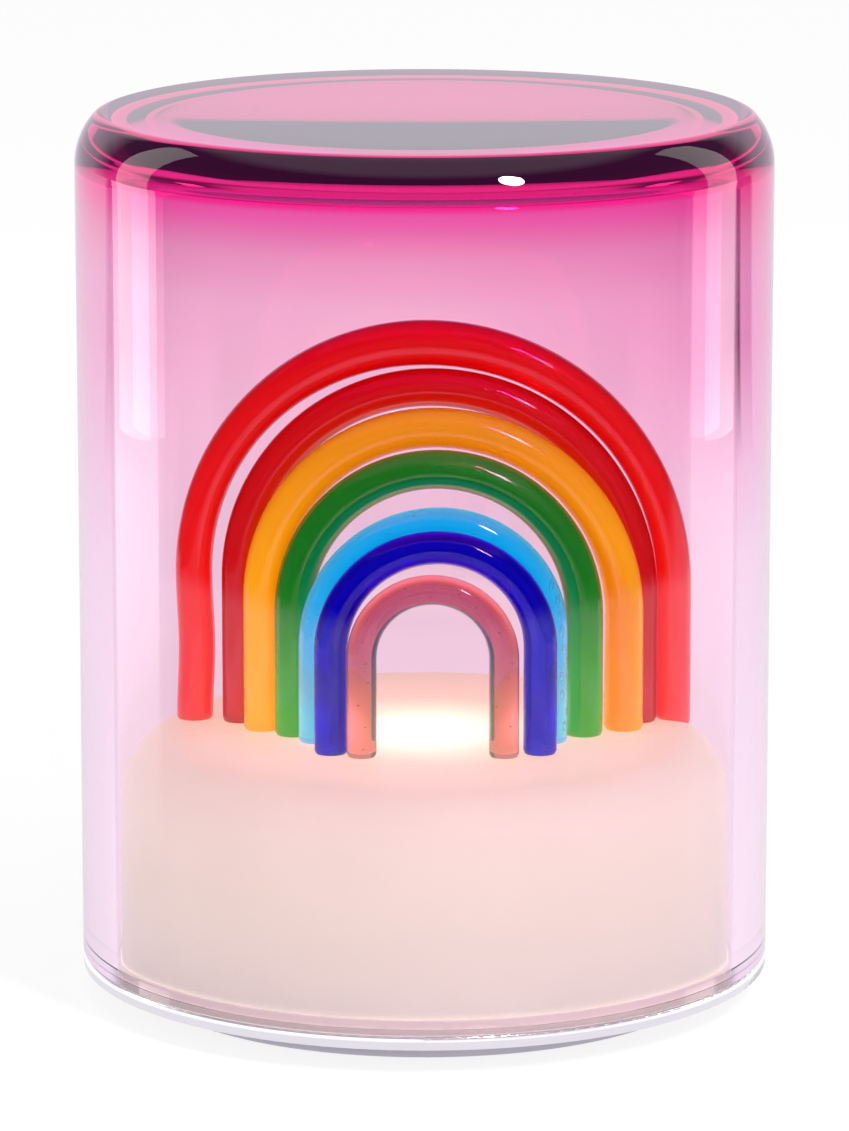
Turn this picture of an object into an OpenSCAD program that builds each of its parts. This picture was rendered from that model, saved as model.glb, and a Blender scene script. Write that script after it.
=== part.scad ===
// Cordless table lamp. A thick glass bell lifts off a turned metal tray. Under it an opal glass mound
// glows from inside, and seven bent glass canes stand on the mound as a rainbow. The tray's foot holds
// the charging socket and the power button, and the cells and boards stand on the tray in the mound.
// The origin is on the table, on the lamp's axis. The rainbow's front faces -Y and the socket +Y.

/* [Glass shade] */
// Outer diameter of the glass shade
shade_d = 160; // [150:1:175]
// Height of the glass shade, from its rim to its flat top
shade_h = 196.3; // [185:0.1:215]
// Thickness of the glass round the side
shade_wall = 7.8; // [6.5:0.1:9]
// Thickness of the glass across the top
shade_top = 7.1; // [5:0.1:9]
// How far down the side the outer shoulder's round reaches
shoulder_drop = 11.8; // [10:0.1:14]
// How far in over the top the outer shoulder's round reaches
shoulder_in = 6.7; // [6:0.1:8]
// Radius of the shoulder's tight end, beside the flat top
shoulder_tight = 3.7; // [3:0.1:4.5]
// Radius inside, where the side meets the top
inner_corner = 4.6; // [3:0.1:7]
// Radius of the wide round that leads on from the inner corner to the flat underside
inner_wide = 28; // [20:1:60]
// Angle in degrees at which the inner corner hands over to the wide round
inner_turn = 68; // [60:0.1:80]
// Bevel on both edges of the ground rim
rim_bevel = 0.6; // [0.3:0.1:1]

/* [Opal mound] */
// Clear gap between the mound and the inside of the shade
mound_gap = 1.2; // [1.2:0.1:4]
// Height of the mound, from its rim to its flat top
mound_h = 51.4; // [48:0.1:60]
// Thickness of the opal glass
mound_wall = 3.5; // [2.5:0.1:4.5]
// Outer radius of the mound's top edge
mound_round = 12; // [8:0.5:16]

/* [Rainbow canes] */
// Thickness of the rose cane
rose_d = 6.8; // [5:0.1:7.5]
// Rose cane's left leg, right leg, crown height and crown offset
rose_bend = [14.2, 18, 38.9, 1.7]; // [0:0.1:100]
// Thickness of the cobalt cane
cobalt_d = 7.6; // [6:0.1:8.5]
// Cobalt cane's left leg, right leg, crown height and crown offset
cobalt_bend = [21.2, 26.2, 48, 3]; // [0:0.1:100]
// Thickness of the sky cane
sky_d = 8; // [6:0.1:9]
// Sky cane's left leg, right leg, crown height and crown offset
sky_bend = [25, 28.9, 51, 3.4]; // [0:0.1:100]
// Thickness of the green cane
green_d = 9; // [7:0.1:10]
// Green cane's left leg, right leg, crown height and crown offset
green_bend = [30.2, 36.9, 62.5, 2.8]; // [0:0.1:100]
// Thickness of the amber cane
amber_d = 9.2; // [7:0.1:10]
// Amber cane's left leg, right leg, crown height and crown offset
amber_bend = [37.7, 46.6, 71.2, 2.4]; // [0:0.1:100]
// Thickness of the inner red cane
inner_red_d = 8.8; // [7:0.1:10]
// Inner red cane's left leg, right leg, crown height and crown offset
inner_red_bend = [43.5, 50.7, 79.2, 1.5]; // [0:0.1:100]
// Thickness of the outer red cane
outer_red_d = 9; // [7:0.1:10]
// Outer red cane's left leg, right leg, crown height and crown offset
outer_red_bend = [54.8, 59.5, 90, 0.2]; // [0:0.1:100]
// How far in front of the lamp's axis the rose cane stands
rainbow_front = 25.4; // [20:0.1:32]
// Clear gap kept between one cane and the next
cane_clear = 0.3; // [0.2:0.1:0.8]

/* [Tray and foot] */
// Thickness of the turned tray
tray_thick = 3.2; // [3:0.1:5]
// Radius on the tray's outer edges
tray_round = 0.5; // [0.2:0.1:1]
// Outer diameter of the recessed foot
foot_d = 132.8; // [130:0.1:142]
// Height of the foot's side
foot_h = 5.7; // [5.6:0.1:9]
// Thickness of the foot's side
foot_wall = 2.2; // [1.6:0.1:2.6]
// Thickness of the foot's floor
foot_floor = 1.6; // [1.4:0.1:2]
// Radius on the foot's lower outer edge
foot_round = 1; // [0.5:0.1:1.4]
// Diameter of each rubber pad
pad_d = 14; // [10:0.5:15]
// How far the pads stand proud of the foot
pad_proud = 0.5; // [0.3:0.1:1]
// How deep the pads sit in the foot
pad_sunk = 1.1; // [0.8:0.1:1.3]

/* [Seals] */
// Thickness of the seals under the two glass rims
seal_thick = 0.6; // [0.5:0.1:0.8]
// How far the seals stand proud of the tray
seal_proud = 0.2; // [0.1:0.1:0.4]
// Height of the seals' upstands that centre the glass
seal_lip_h = 2.6; // [1.5:0.1:4]
// Thickness of the upstand inside the mound's rim
seal_lip = 1.2; // [0.8:0.1:1.4]
// How far the mound's seal lies inside the mound's outer edge
seal_inset = 0.8; // [0.6:0.1:1.2]

/* [Power button] */
// Diameter of the button in the foot's floor
button_d = 12; // [9:0.5:14]
// How far the button's face lies inside the foot's underside
button_sunk = 0.4; // [0.2:0.1:0.8]
// Travel of the button
button_travel = 0.8; // [0.5:0.1:1]
// Width of the collar that keeps the button in the foot
collar_w = 1.6; // [1:0.1:2.5]
// Thickness of the collar
collar_thick = 0.9; // [0.6:0.1:1.2]
// Diameter of the button's stem
stem_d = 4; // [3:0.1:5]
// Wire thickness of the return spring
spring_wire = 0.5; // [0.4:0.05:0.6]
// Mean radius of the return spring
spring_r = 4.4; // [3.8:0.1:5]

/* [Cells and boards] */
// Diameter of a cell
cell_d = 18.4; // [16:0.1:20]
// Length of a cell
cell_l = 65; // [60:0.5:70]
// Thickness of the control board
board_thick = 1.6; // [1.2:0.1:2]
// Half the width of the control board
board_half_w = 25; // [24.5:0.1:26]
// Height of the spacers under the control board
spacer_h = 4.6; // [4.4:0.1:6]
// Room above the control board for its parts
parts_room = 3.2; // [3.1:0.1:5]
// Thickness of the cell cradle's floor
cradle_floor = 1.5; // [1.2:0.1:2.5]
// Thickness of the cell cradle's walls
cradle_wall = 1.8; // [1.2:0.1:2.4]
// Thickness of the battery contacts
contact_thick = 0.5; // [0.3:0.1:0.8]
// Thickness of the core housing
housing_wall = 2; // [1.5:0.1:2.5]
// Height of the tact switch under the control board
switch_h = 3.1; // [2.8:0.1:3.4]

/* [Light unit] */
// Thickness of the plate that carries the light unit
carrier_thick = 2; // [1.5:0.1:3]
// Diameter of the plate that carries the light unit
carrier_d = 72; // [68:1:80]
// Diameter of the LED board
led_board_d = 44; // [42:0.5:45]
// Thickness of the LED board
led_board_thick = 1.6; // [1:0.1:2]
// Number of LEDs on the outer ring
led_ring_count = 12; // [6:1:16]
// Radius of the outer ring of LEDs
led_ring_r = 14; // [11:0.5:16]
// Width of one LED
led_w = 3; // [2:0.1:3.5]
// Diameter of the frosted cover over the LEDs
cover_d = 58; // [56:0.5:62]
// Height of the frosted cover
cover_h = 9.8; // [9.6:0.1:11]
// Thickness of the frosted cover
cover_wall = 1.4; // [1:0.1:1.5]

/* [Charging socket] */
// Width of the socket's shell
socket_w = 8.94; // [8.9:0.01:9.2]
// Height of the socket's shell
socket_h = 3.26; // [3.2:0.01:3.3]
// Depth of the socket's shell
socket_l = 7.4; // [6.5:0.1:9]
// Thickness of the socket's board
socket_board_thick = 0.8; // [0.6:0.1:1]
// Diameter of the charge light's pipe
pipe_d = 1.5; // [1:0.1:1.5]

/* [Hidden] */
$fn = 96;

// Clearances between pieces that fit each other
seat_clear = 0.3;
run_clear = 0.1;
hole_clear = 0.2;
thread_clear = 0.05;
over_cut = 1;

// Radii and heights of the glass
shade_r = shade_d / 2;
shade_ri = shade_r - shade_wall;
mound_r = shade_ri - mound_gap;
mound_ri = mound_r - mound_wall;
shade_lip = mound_gap - 2 * seat_clear;
shoulder_wide = (shoulder_in ^ 2 + shoulder_drop ^ 2 - 2 * shoulder_drop * shoulder_tight)
    / (2 * (shoulder_in - shoulder_tight));
shoulder_turn = atan2(shoulder_drop - shoulder_tight, shoulder_wide - shoulder_in);

// Heights of what is stacked up from the table
foot_z = pad_proud;
cavity_z = foot_z + foot_floor;
tray_z = foot_z + foot_h;
tray_top = tray_z + tray_thick;
glass_z = tray_top + seal_proud;
mound_top = glass_z + mound_h;
board_z = tray_top + spacer_h;
board_top = board_z + board_thick;
cradle_z = board_top + parts_room;
cell_clear = 0.2;
cell_z = cradle_z + cradle_floor + cell_clear + cell_d / 2;
roof_gap = 1.1;
roof_z = cell_z + cell_d / 2 + roof_gap;
housing_top = roof_z + housing_wall;
carrier_top = housing_top + carrier_thick;
led_z = carrier_top + led_board_thick;

// Depths of the planes in which the canes stand, from the front one back. Each plane lies far enough
// behind the one before it for the two canes to clear each other where their bends come closest.
cane_ds = [rose_d, cobalt_d, sky_d, green_d, amber_d, inner_red_d, outer_red_d];
cane_bends = [rose_bend, cobalt_bend, sky_bend, green_bend, amber_bend, inner_red_bend, outer_red_bend];
extra_depth = [0, 0.6, 4, 0, 0, 0, 0];
function closest(i) = min([for (k = [0:2]) abs(cane_bends[i][k] - cane_bends[i - 1][k])]);
function cane_pitch(i) = (cane_ds[i] + cane_ds[i - 1]) / 2 + cane_clear;
function plane_step(i) = sqrt(max(0, cane_pitch(i) ^ 2 - closest(i) ^ 2)) + extra_depth[i];
function cane_plane(i) = i == 0 ? -rainbow_front : cane_plane(i - 1) + plane_step(i);

// Screws, as shank radius, head radius and head height
m3 = [1.5, 2.8, 2];
m25 = [1.25, 2.3, 1.6];
m2 = [1, 1.8, 1.2];
countersunk_h = 1.6;

// Where the foot, pads and tray screws are
foot_r = foot_d / 2;
foot_ri = foot_r - foot_wall;
pad_z = foot_z + pad_sunk;
foot_boss_r = pad_d / 2 + 1.5;
pad_at = foot_ri - foot_boss_r - 1;
corner_angles = [45, 135, 225, 315];
tray_bite = 2.4;

// Cell cradle and core housing round the cells
cell_gap = 0.8;
cell_y = (cell_d + cell_gap) / 2;
cradle_half_l = cell_l / 2 + contact_thick + cradle_wall;
cradle_half_w = cell_y + cell_d / 2 + cell_clear + cradle_wall;
housing_ri = norm([cradle_half_l, cradle_half_w]) + 1.5;
housing_r = housing_ri + housing_wall;
housing_boss_r = 3.2;
housing_boss_at = housing_ri - housing_boss_r - 0.6;
housing_angles = [60, 120, 240, 300];
boss_h = 9;
board_half_l = cell_l / 2 + contact_thick + 2;
board_reach = housing_ri - 1.5;
leg_r = 3;
leg_x = 10;
leg_y = board_half_w + leg_r + 0.5;
ear_half = leg_x + leg_r + 0.5;
leg_hole = 8;
spacer_at = [28, 15];
spacer_r = 2.9;
spacer_hole = 3.5;
screw_short = 0.5;
carrier_screw_at = carrier_d / 2 - 3;

// Leads: one pair up to the LED board and three from the charging board to the control board
lead_r = 0.6;
lead_pitch = 2.2;
lead_hole_r = 2.6;
led_lead_y = led_board_d / 2 + 1.5;
led_lead_bend = 1.6;
socket_lead_y = 18;

// Power button and its switch
button_r = button_d / 2;
collar_r = button_r + collar_w;
button_face = foot_z + button_sunk;
collar_top = cavity_z + collar_thick;
switch_z = board_z - switch_h;
plunger_show = button_travel + hole_clear;
plunger_r = 1.7;
plunger_in = 1.1;
switch_half = 3.1;

// Charging board in the foot
socket_z = cavity_z + 0.1 + socket_h / 2;
socket_board_z = socket_z - socket_board_thick / 2;
socket_board_top = socket_board_z + socket_board_thick;
socket_front = foot_r - 1;
strip_half = 4.5;
strip_y = 14;
wide_half = 12;
wide_y = 44;
board_end = foot_ri - 0.6;
socket_screw_at = [8.5, 49];
charge_x = 9;
charge_z = socket_board_top + pipe_d / 2 + 0.2;
charge_led = [2.4, 1.6, 1.6];
charge_led_y = 57;

// A disc's sector between two angles, for the true round on a turned outline's corner
module corner_sector(centre, r, from, to) {
    middle = (from + to) / 2;
    translate(centre)
        intersection() {
            circle(r = r);
            polygon([
                [0, 0],
                2 * r * [cos(from), sin(from)],
                2 * r * [cos(middle), sin(middle)],
                2 * r * [cos(to), sin(to)]
            ]);
        }
}

// Outline of a cup turned upside down, from its axis out, with a round between its side and its top
module bell_outline(r, h, round_r) {
    polygon([[0, 0], [r, 0], [r, h - round_r], [r - round_r, h], [0, h]]);
    corner_sector([r - round_r, h - round_r], round_r, 0, 90);
}

// The shade's outer outline: its shoulder starts as a wide arc and ends as a tight one
module shade_outline() {
    wide_centre = [shade_r - shoulder_wide, shade_h - shoulder_drop];
    tight_centre = [shade_r - shoulder_in, shade_h - shoulder_tight];
    meeting = wide_centre + shoulder_wide * [cos(shoulder_turn), sin(shoulder_turn)];
    polygon([
        [0, 0],
        [shade_r - rim_bevel, 0],
        [shade_r, rim_bevel],
        [shade_r, shade_h - shoulder_drop],
        meeting,
        [shade_r - shoulder_in, shade_h],
        [0, shade_h]
    ]);
    corner_sector(wide_centre, shoulder_wide, 0, shoulder_turn);
    corner_sector(tight_centre, shoulder_tight, shoulder_turn, 90);
}

// The hollow in the shade: its corner starts tight at the side and ends wide under the top
module shade_hollow() {
    hollow_h = shade_h - shade_top;
    step = (inner_wide - inner_corner) * [cos(inner_turn), sin(inner_turn)];
    wide_centre = [shade_ri - inner_corner - step[0], hollow_h - inner_wide];
    tight_centre = wide_centre + step;
    meeting = tight_centre + inner_corner * [cos(inner_turn), sin(inner_turn)];
    polygon([
        [0, -over_cut],
        [shade_ri, -over_cut],
        [shade_ri, tight_centre[1]],
        meeting,
        [wide_centre[0], hollow_h],
        [0, hollow_h]
    ]);
    corner_sector(tight_centre, inner_corner, 0, inner_turn);
    corner_sector(wide_centre, inner_wide, inner_turn, 90);
}

module glass_shade() {
    color([0.93, 0.35, 0.65, 0.4])
        translate([0, 0, glass_z])
            rotate_extrude()
                difference() {
                    shade_outline();
                    shade_hollow();
                    polygon([
                        [0, -over_cut],
                        [shade_ri + rim_bevel + over_cut, -over_cut],
                        [shade_ri, rim_bevel],
                        [0, rim_bevel]
                    ]);
                }
}

// A seal under a glass rim: a flat band in the tray's groove, and an upstand that centres the glass
module rim_seal(inner_r, outer_r, lip) {
    seal_z = glass_z - seal_thick;
    translate([0, 0, seal_z])
        rotate_extrude()
            polygon([
                [inner_r - seat_clear - lip, 0],
                [outer_r, 0],
                [outer_r, seal_thick],
                [inner_r - seat_clear, seal_thick],
                [inner_r - seat_clear, seal_lip_h],
                [inner_r - seat_clear - lip, seal_lip_h]
            ]);
}

module shade_seal() {
    color("gainsboro")
        rim_seal(shade_ri, shade_r - rim_bevel, shade_lip);
}

module mound_seal() {
    color("white")
        rim_seal(mound_ri, mound_r - seal_inset, seal_lip);
}

module mound_solid() {
    translate([0, 0, glass_z])
        rotate_extrude()
            bell_outline(mound_r, mound_h, mound_round);
}

module opal_mound() {
    color([0.98, 0.95, 0.93])
        translate([0, 0, glass_z])
            rotate_extrude()
                difference() {
                    bell_outline(mound_r, mound_h, mound_round);
                    translate([0, -over_cut])
                        bell_outline(mound_ri, mound_h - mound_wall + over_cut, mound_round - mound_wall);
                }
}

// A quarter of a ring, bent from round cane in the XZ plane
module quarter_bend(cane_d, centre, bend_r, start) {
    translate([centre[0], 0, centre[1]])
        rotate([90, 0, 0])
            rotate([0, 0, start])
                rotate_extrude(angle = 90)
                    translate([bend_r, 0])
                        circle(d = cane_d);
}

// A cane bent over a former: two legs that may differ in reach, and a crown of two quarter bends.
// The legs are ground to the mound's own surface, so the outer ones follow its round edge.
module bent_cane(i) {
    cane_d = cane_ds[i];
    bend = cane_bends[i];
    left_r = bend[0] + bend[3];
    right_r = bend[1] - bend[3];
    difference() {
        translate([0, cane_plane(i), mound_top]) {
            quarter_bend(cane_d, [bend[3], bend[2] - left_r], left_r, 90);
            quarter_bend(cane_d, [bend[3], bend[2] - right_r], right_r, 0);
            for (leg = [[-bend[0], left_r], [bend[1], right_r]])
                translate([leg[0], 0, -mound_round])
                    cylinder(h = bend[2] - leg[1] + mound_round, d = cane_d);
        }
        mound_solid();
    }
}

module cane_rose() {
    color([0.86, 0.55, 0.55, 0.8])
        bent_cane(0);
}

module cane_cobalt() {
    color([0.1, 0.05, 0.75, 0.9])
        bent_cane(1);
}

module cane_sky() {
    color([0.25, 0.72, 0.9, 0.8])
        bent_cane(2);
}

module cane_green() {
    color([0.1, 0.5, 0.12, 0.9])
        bent_cane(3);
}

module cane_amber() {
    color([0.98, 0.62, 0.02, 0.9])
        bent_cane(4);
}

module cane_inner_red() {
    color([0.85, 0.02, 0.02, 0.9])
        bent_cane(5);
}

module cane_outer_red() {
    color([0.95, 0.04, 0.02, 0.9])
        bent_cane(6);
}

// Puts what comes after it at each of a list of angles on one circle
module ring_of(angles, at) {
    for (a = angles)
        rotate([0, 0, a])
            translate([at, 0, 0])
                children();
}

// Puts what comes after it at the four corners of a rectangle round the axis
module four_corners(at) {
    for (x = [-at[0], at[0]])
        for (y = [-at[1], at[1]])
            translate([x, y, 0])
                children();
}

// A pan-head screw that points up, with the seat of its head at z = 0
module screw_up(size, length) {
    translate([0, 0, -size[2]])
        cylinder(h = size[2], r = size[1], $fn = 32);
    cylinder(h = length, r = size[0], $fn = 32);
}

// A pan-head screw that points down, with the seat of its head at z = 0
module screw_down(size, length) {
    mirror([0, 0, 1])
        screw_up(size, length);
}

// The tray: a turned aluminium disc with rounded edges and two grooves for the seals
module tray() {
    groove_z = glass_z - seal_thick;
    color("gainsboro")
        difference() {
            translate([0, 0, tray_z])
                rotate_extrude()
                    union() {
                        polygon([
                            [0, 0],
                            [shade_r - tray_round, 0],
                            [shade_r, tray_round],
                            [shade_r, tray_thick - tray_round],
                            [shade_r - tray_round, tray_thick],
                            [0, tray_thick]
                        ]);
                        corner_sector([shade_r - tray_round, tray_round], tray_round, -90, 0);
                        corner_sector([shade_r - tray_round, tray_thick - tray_round], tray_round, 0, 90);
                    }
            seal_groove(shade_ri - seat_clear - shade_lip, shade_r - rim_bevel, groove_z);
            seal_groove(mound_ri - seat_clear - seal_lip, mound_r - seal_inset, groove_z);
            translate([0, 0, tray_z - over_cut]) {
                cylinder(h = tray_thick + 2 * over_cut, r = stem_d / 2 + run_clear);
                translate([0, socket_lead_y, 0])
                    cylinder(h = tray_thick + 2 * over_cut, r = lead_pitch + lead_r + 0.6);
                ring_of(housing_angles, housing_boss_at)
                    cylinder(h = tray_thick + 2 * over_cut, r = m3[0] + hole_clear);
                four_corners([leg_x, leg_y])
                    cylinder(h = tray_thick + 2 * over_cut, r = m25[0] + hole_clear);
                ring_of(corner_angles, pad_at)
                    cylinder(h = tray_bite + over_cut, r = m3[0] + thread_clear);
            }
            four_corners(spacer_at)
                translate([0, 0, tray_top - 2])
                    cylinder(h = 2 + over_cut, r = m3[0] + thread_clear);
        }
}

module seal_groove(inner_r, outer_r, z) {
    translate([0, 0, z])
        difference() {
            cylinder(h = tray_thick, r = outer_r);
            translate([0, 0, -over_cut])
                cylinder(h = tray_thick + 2 * over_cut, r = inner_r);
        }
}

// The foot: a shallow turned cup under the tray, with bosses behind its pads
module foot() {
    color("silver")
        difference() {
            translate([0, 0, foot_z])
                union() {
                    rotate_extrude()
                        difference() {
                            union() {
                                polygon([
                                    [0, 0],
                                    [foot_r - foot_round, 0],
                                    [foot_r, foot_round],
                                    [foot_r, foot_h],
                                    [0, foot_h]
                                ]);
                                corner_sector([foot_r - foot_round, foot_round], foot_round, -90, 0);
                            }
                            translate([0, foot_floor])
                                square([foot_ri, foot_h]);
                        }
                    ring_of(corner_angles, pad_at)
                        cylinder(h = foot_h, r = foot_boss_r);
                    for (x = [-socket_screw_at[0], socket_screw_at[0]])
                        translate([x, socket_screw_at[1], 0])
                            cylinder(h = socket_board_z - foot_z, r = 2.4);
                }
            translate([0, 0, foot_z - over_cut]) {
                cylinder(h = foot_floor + 2 * over_cut, r = button_r + hole_clear);
                ring_of(corner_angles, pad_at) {
                    cylinder(h = pad_sunk + over_cut, r = pad_d / 2 + run_clear);
                    cylinder(h = foot_h + 2 * over_cut, r = m3[0] + hole_clear);
                }
            }
            ring_of(corner_angles, pad_at)
                translate([0, 0, pad_z])
                    cylinder(h = countersunk_h, r1 = m3[1] + run_clear, r2 = m3[0] + run_clear);
            for (x = [-socket_screw_at[0], socket_screw_at[0]])
                translate([x, socket_screw_at[1], cavity_z - 0.8])
                    cylinder(h = foot_h, r = m2[0] + thread_clear);
            translate([0, foot_ri - 1, socket_z])
                along_y(foot_wall + 2)
                    stadium(socket_w + 2 * seat_clear, socket_h + 2 * seat_clear);
            translate([charge_x, foot_ri - 2, charge_z])
                along_y(foot_wall + 3)
                    circle(d = pipe_d + 2 * run_clear);
        }
}

// Stands a flat outline up and extrudes it towards +Y
module along_y(length) {
    translate([0, length, 0])
        rotate([90, 0, 0])
            linear_extrude(height = length)
                children();
}

// A flat slot with round ends, wider than it is high
module stadium(w, h) {
    square([w - h, h], center = true);
    for (x = [-(w - h) / 2, (w - h) / 2])
        translate([x, 0])
            circle(d = h);
}

module foot_pads() {
    color("dimgray")
        ring_of(corner_angles, pad_at)
            cylinder(h = pad_z, d = pad_d);
}

module foot_screws() {
    color("darkgray")
        ring_of(corner_angles, pad_at)
            translate([0, 0, pad_z]) {
                cylinder(h = countersunk_h, r1 = m3[1], r2 = m3[0], $fn = 32);
                cylinder(h = tray_z + tray_bite - pad_z - 0.2, r = m3[0], $fn = 32);
            }
}

// The core housing: a moulded cup over the cells and boards, screwed up through the tray
module core_housing() {
    color("whitesmoke")
        difference() {
            union() {
                translate([0, 0, tray_top])
                    difference() {
                        cylinder(h = housing_top - tray_top, r = housing_r);
                        translate([0, 0, -over_cut])
                            cylinder(h = roof_z - tray_top + over_cut, r = housing_ri);
                    }
                ring_of(housing_angles, housing_boss_at)
                    translate([0, 0, tray_top])
                        cylinder(h = boss_h, r = housing_boss_r);
                ring_of(housing_angles, housing_boss_at)
                    translate([0, -1, tray_top])
                        cube([housing_ri - housing_boss_at + 0.5, 2, boss_h]);
                ring_of(corner_angles, carrier_screw_at)
                    translate([0, 0, roof_z - 0.8])
                        cylinder(h = 1, r = 2.4);
            }
            ring_of(housing_angles, housing_boss_at)
                translate([0, 0, tray_top - over_cut])
                    cylinder(h = boss_h - 1 + over_cut, r = m3[0] + thread_clear);
            translate([0, led_lead_y, roof_z - over_cut])
                cylinder(h = housing_wall + 2 * over_cut, r = lead_hole_r);
            ring_of(corner_angles, carrier_screw_at)
                translate([0, 0, roof_z - 0.3])
                    cylinder(h = housing_wall + over_cut, r = m2[0] + thread_clear);
        }
}

module housing_screws() {
    color("darkgray")
        ring_of(housing_angles, housing_boss_at)
            translate([0, 0, tray_z])
                screw_up(m3, tray_thick + boss_h - 1.5);
}

// The plate that carries the light unit and spreads its heat
module led_carrier() {
    color("lightgray")
        translate([0, 0, housing_top])
            difference() {
                cylinder(h = carrier_thick, d = carrier_d);
                translate([0, led_lead_y, -over_cut])
                    cylinder(h = carrier_thick + 2 * over_cut, r = lead_hole_r);
                ring_of(corner_angles, carrier_screw_at)
                    translate([0, 0, -over_cut])
                        cylinder(h = carrier_thick + 2 * over_cut, r = m2[0] + hole_clear);
            }
}

module carrier_screws() {
    color("darkgray")
        ring_of(corner_angles, carrier_screw_at)
            translate([0, 0, carrier_top])
                screw_down(m2, carrier_thick + housing_wall);
}

module led_board() {
    color("white")
        translate([0, 0, carrier_top])
            cylinder(h = led_board_thick, d = led_board_d);
}

// The LEDs: one in the middle, a ring of six and an outer ring
module leds() {
    led_h = 0.7;
    color("khaki")
        translate([-led_w / 2, -led_w / 2, led_z]) {
            cube([led_w, led_w, led_h]);
            for (ring = [[6, led_ring_r / 2], [led_ring_count, led_ring_r]])
                for (i = [0:ring[0] - 1])
                    translate([ring[1] * cos(360 * i / ring[0]), ring[1] * sin(360 * i / ring[0]), 0])
                        cube([led_w, led_w, led_h]);
        }
}

// The frosted cover: a short cylinder with a shallow cap of a ball on it
module cap_solid(r, h, side_h) {
    rise = h - side_h;
    ball_r = (r ^ 2 + rise ^ 2) / (2 * rise);
    cylinder(h = side_h, r = r);
    translate([0, 0, side_h - 0.01])
        intersection() {
            cylinder(h = rise + 1, r = r);
            translate([0, 0, rise - ball_r + 0.01])
                sphere(r = ball_r, $fn = 120);
        }
}

module led_cover() {
    side_h = 3;
    color([1, 1, 0.97, 0.8])
        translate([0, 0, carrier_top])
            difference() {
                cap_solid(cover_d / 2, cover_h, side_h);
                translate([0, 0, -over_cut])
                    cap_solid(cover_d / 2 - cover_wall, cover_h - cover_wall + over_cut, side_h + over_cut);
            }
}

// One lead up beside the cells, through the roof and over onto the LED board
module led_lead() {
    over_z = led_z + 0.3;
    translate([0, led_lead_y, board_top])
        cylinder(h = over_z - board_top, r = lead_r, $fn = 24);
    translate([0, led_lead_y - led_lead_bend, over_z])
        rotate([90, 0, 90])
            rotate_extrude(angle = 180, $fn = 48)
                translate([led_lead_bend, 0])
                    circle(r = lead_r, $fn = 24);
    translate([0, led_lead_y - 2 * led_lead_bend, led_z])
        cylinder(h = over_z - led_z, r = lead_r, $fn = 24);
}

module led_leads() {
    color("firebrick")
        for (x = [-lead_pitch / 2, lead_pitch / 2])
            translate([x, 0, 0])
                led_lead();
}

// The cell cradle: a moulded tray with end walls, and two ears that stand on four legs
module cell_cradle() {
    wall_top = cell_z + cell_d / 4;
    color("lightgray")
        difference() {
            union() {
                translate([-cradle_half_l, -cradle_half_w, cradle_z])
                    cube([2 * cradle_half_l, 2 * cradle_half_w, wall_top - cradle_z]);
                translate([-ear_half, -leg_y - leg_r, cradle_z])
                    cube([2 * ear_half, 2 * (leg_y + leg_r), cradle_floor]);
                four_corners([leg_x, leg_y])
                    translate([0, 0, tray_top])
                        cylinder(h = cradle_z - tray_top + cradle_floor, r = leg_r);
            }
            translate([-cell_l / 2 - contact_thick, cradle_wall - cradle_half_w, cradle_z + cradle_floor])
                cube([cell_l + 2 * contact_thick, 2 * (cradle_half_w - cradle_wall), cell_d]);
            for (x = [-1, 1])
                for (y = [-cell_y, cell_y])
                    translate([x * (cell_l / 2 + contact_thick / 2), y, cradle_z])
                        cube([contact_thick + 0.4, 3.4, 2 * cradle_floor + over_cut], center = true);
            four_corners([leg_x, leg_y])
                translate([0, 0, tray_top - over_cut])
                    cylinder(h = leg_hole + over_cut, r = m25[0] + thread_clear);
            for (y = [-led_lead_y, led_lead_y])
                translate([0, y, cradle_z - over_cut])
                    cylinder(h = cradle_floor + 2 * over_cut, r = lead_hole_r - 0.3);
        }
}

module cradle_screws() {
    color("darkgray")
        four_corners([leg_x, leg_y])
            translate([0, 0, tray_z])
                screw_up(m25, tray_thick + leg_hole - screw_short);
}

// The two cells, side by side, with the raised button at their +X ends
module cells() {
    button_h = 0.8;
    edge = 0.8;
    color("mediumseagreen")
        for (y = [-cell_y, cell_y])
            translate([-cell_l / 2, y, cell_z])
                rotate([0, 90, 0]) {
                    cylinder(h = edge, r1 = cell_d / 2 - edge, r2 = cell_d / 2);
                    translate([0, 0, edge])
                        cylinder(h = cell_l - button_h - 2 * edge, d = cell_d);
                    translate([0, 0, cell_l - button_h - edge])
                        cylinder(h = edge, r1 = cell_d / 2, r2 = cell_d / 2 - edge);
                    translate([0, 0, cell_l - button_h - edge])
                        cylinder(h = button_h + edge, r = 2.9);
                }
}

// Contact plates at the cells' ends, with tails down to the control board
module cell_contacts() {
    plate = 12;
    color("silver")
        for (x = [-1, 1])
            for (y = [-cell_y, cell_y])
                translate([x * (cell_l / 2 + contact_thick / 2), y, 0]) {
                    translate([-contact_thick / 2, -plate / 2, cell_z - plate / 2])
                        cube([contact_thick, plate, plate]);
                    translate([-contact_thick / 2, -1.5, board_top])
                        cube([contact_thick, 3, cell_z - board_top]);
                }
}

module control_board() {
    color("seagreen")
        translate([0, 0, board_z])
            difference() {
                intersection() {
                    cylinder(h = board_thick, r = board_reach);
                    translate([-board_half_l, -board_half_w, -over_cut])
                        cube([2 * board_half_l, 2 * board_half_w, board_thick + 2 * over_cut]);
                }
                four_corners(spacer_at)
                    translate([0, 0, -over_cut])
                        cylinder(h = board_thick + 2 * over_cut, r = m25[0] + hole_clear);
            }
}

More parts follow.
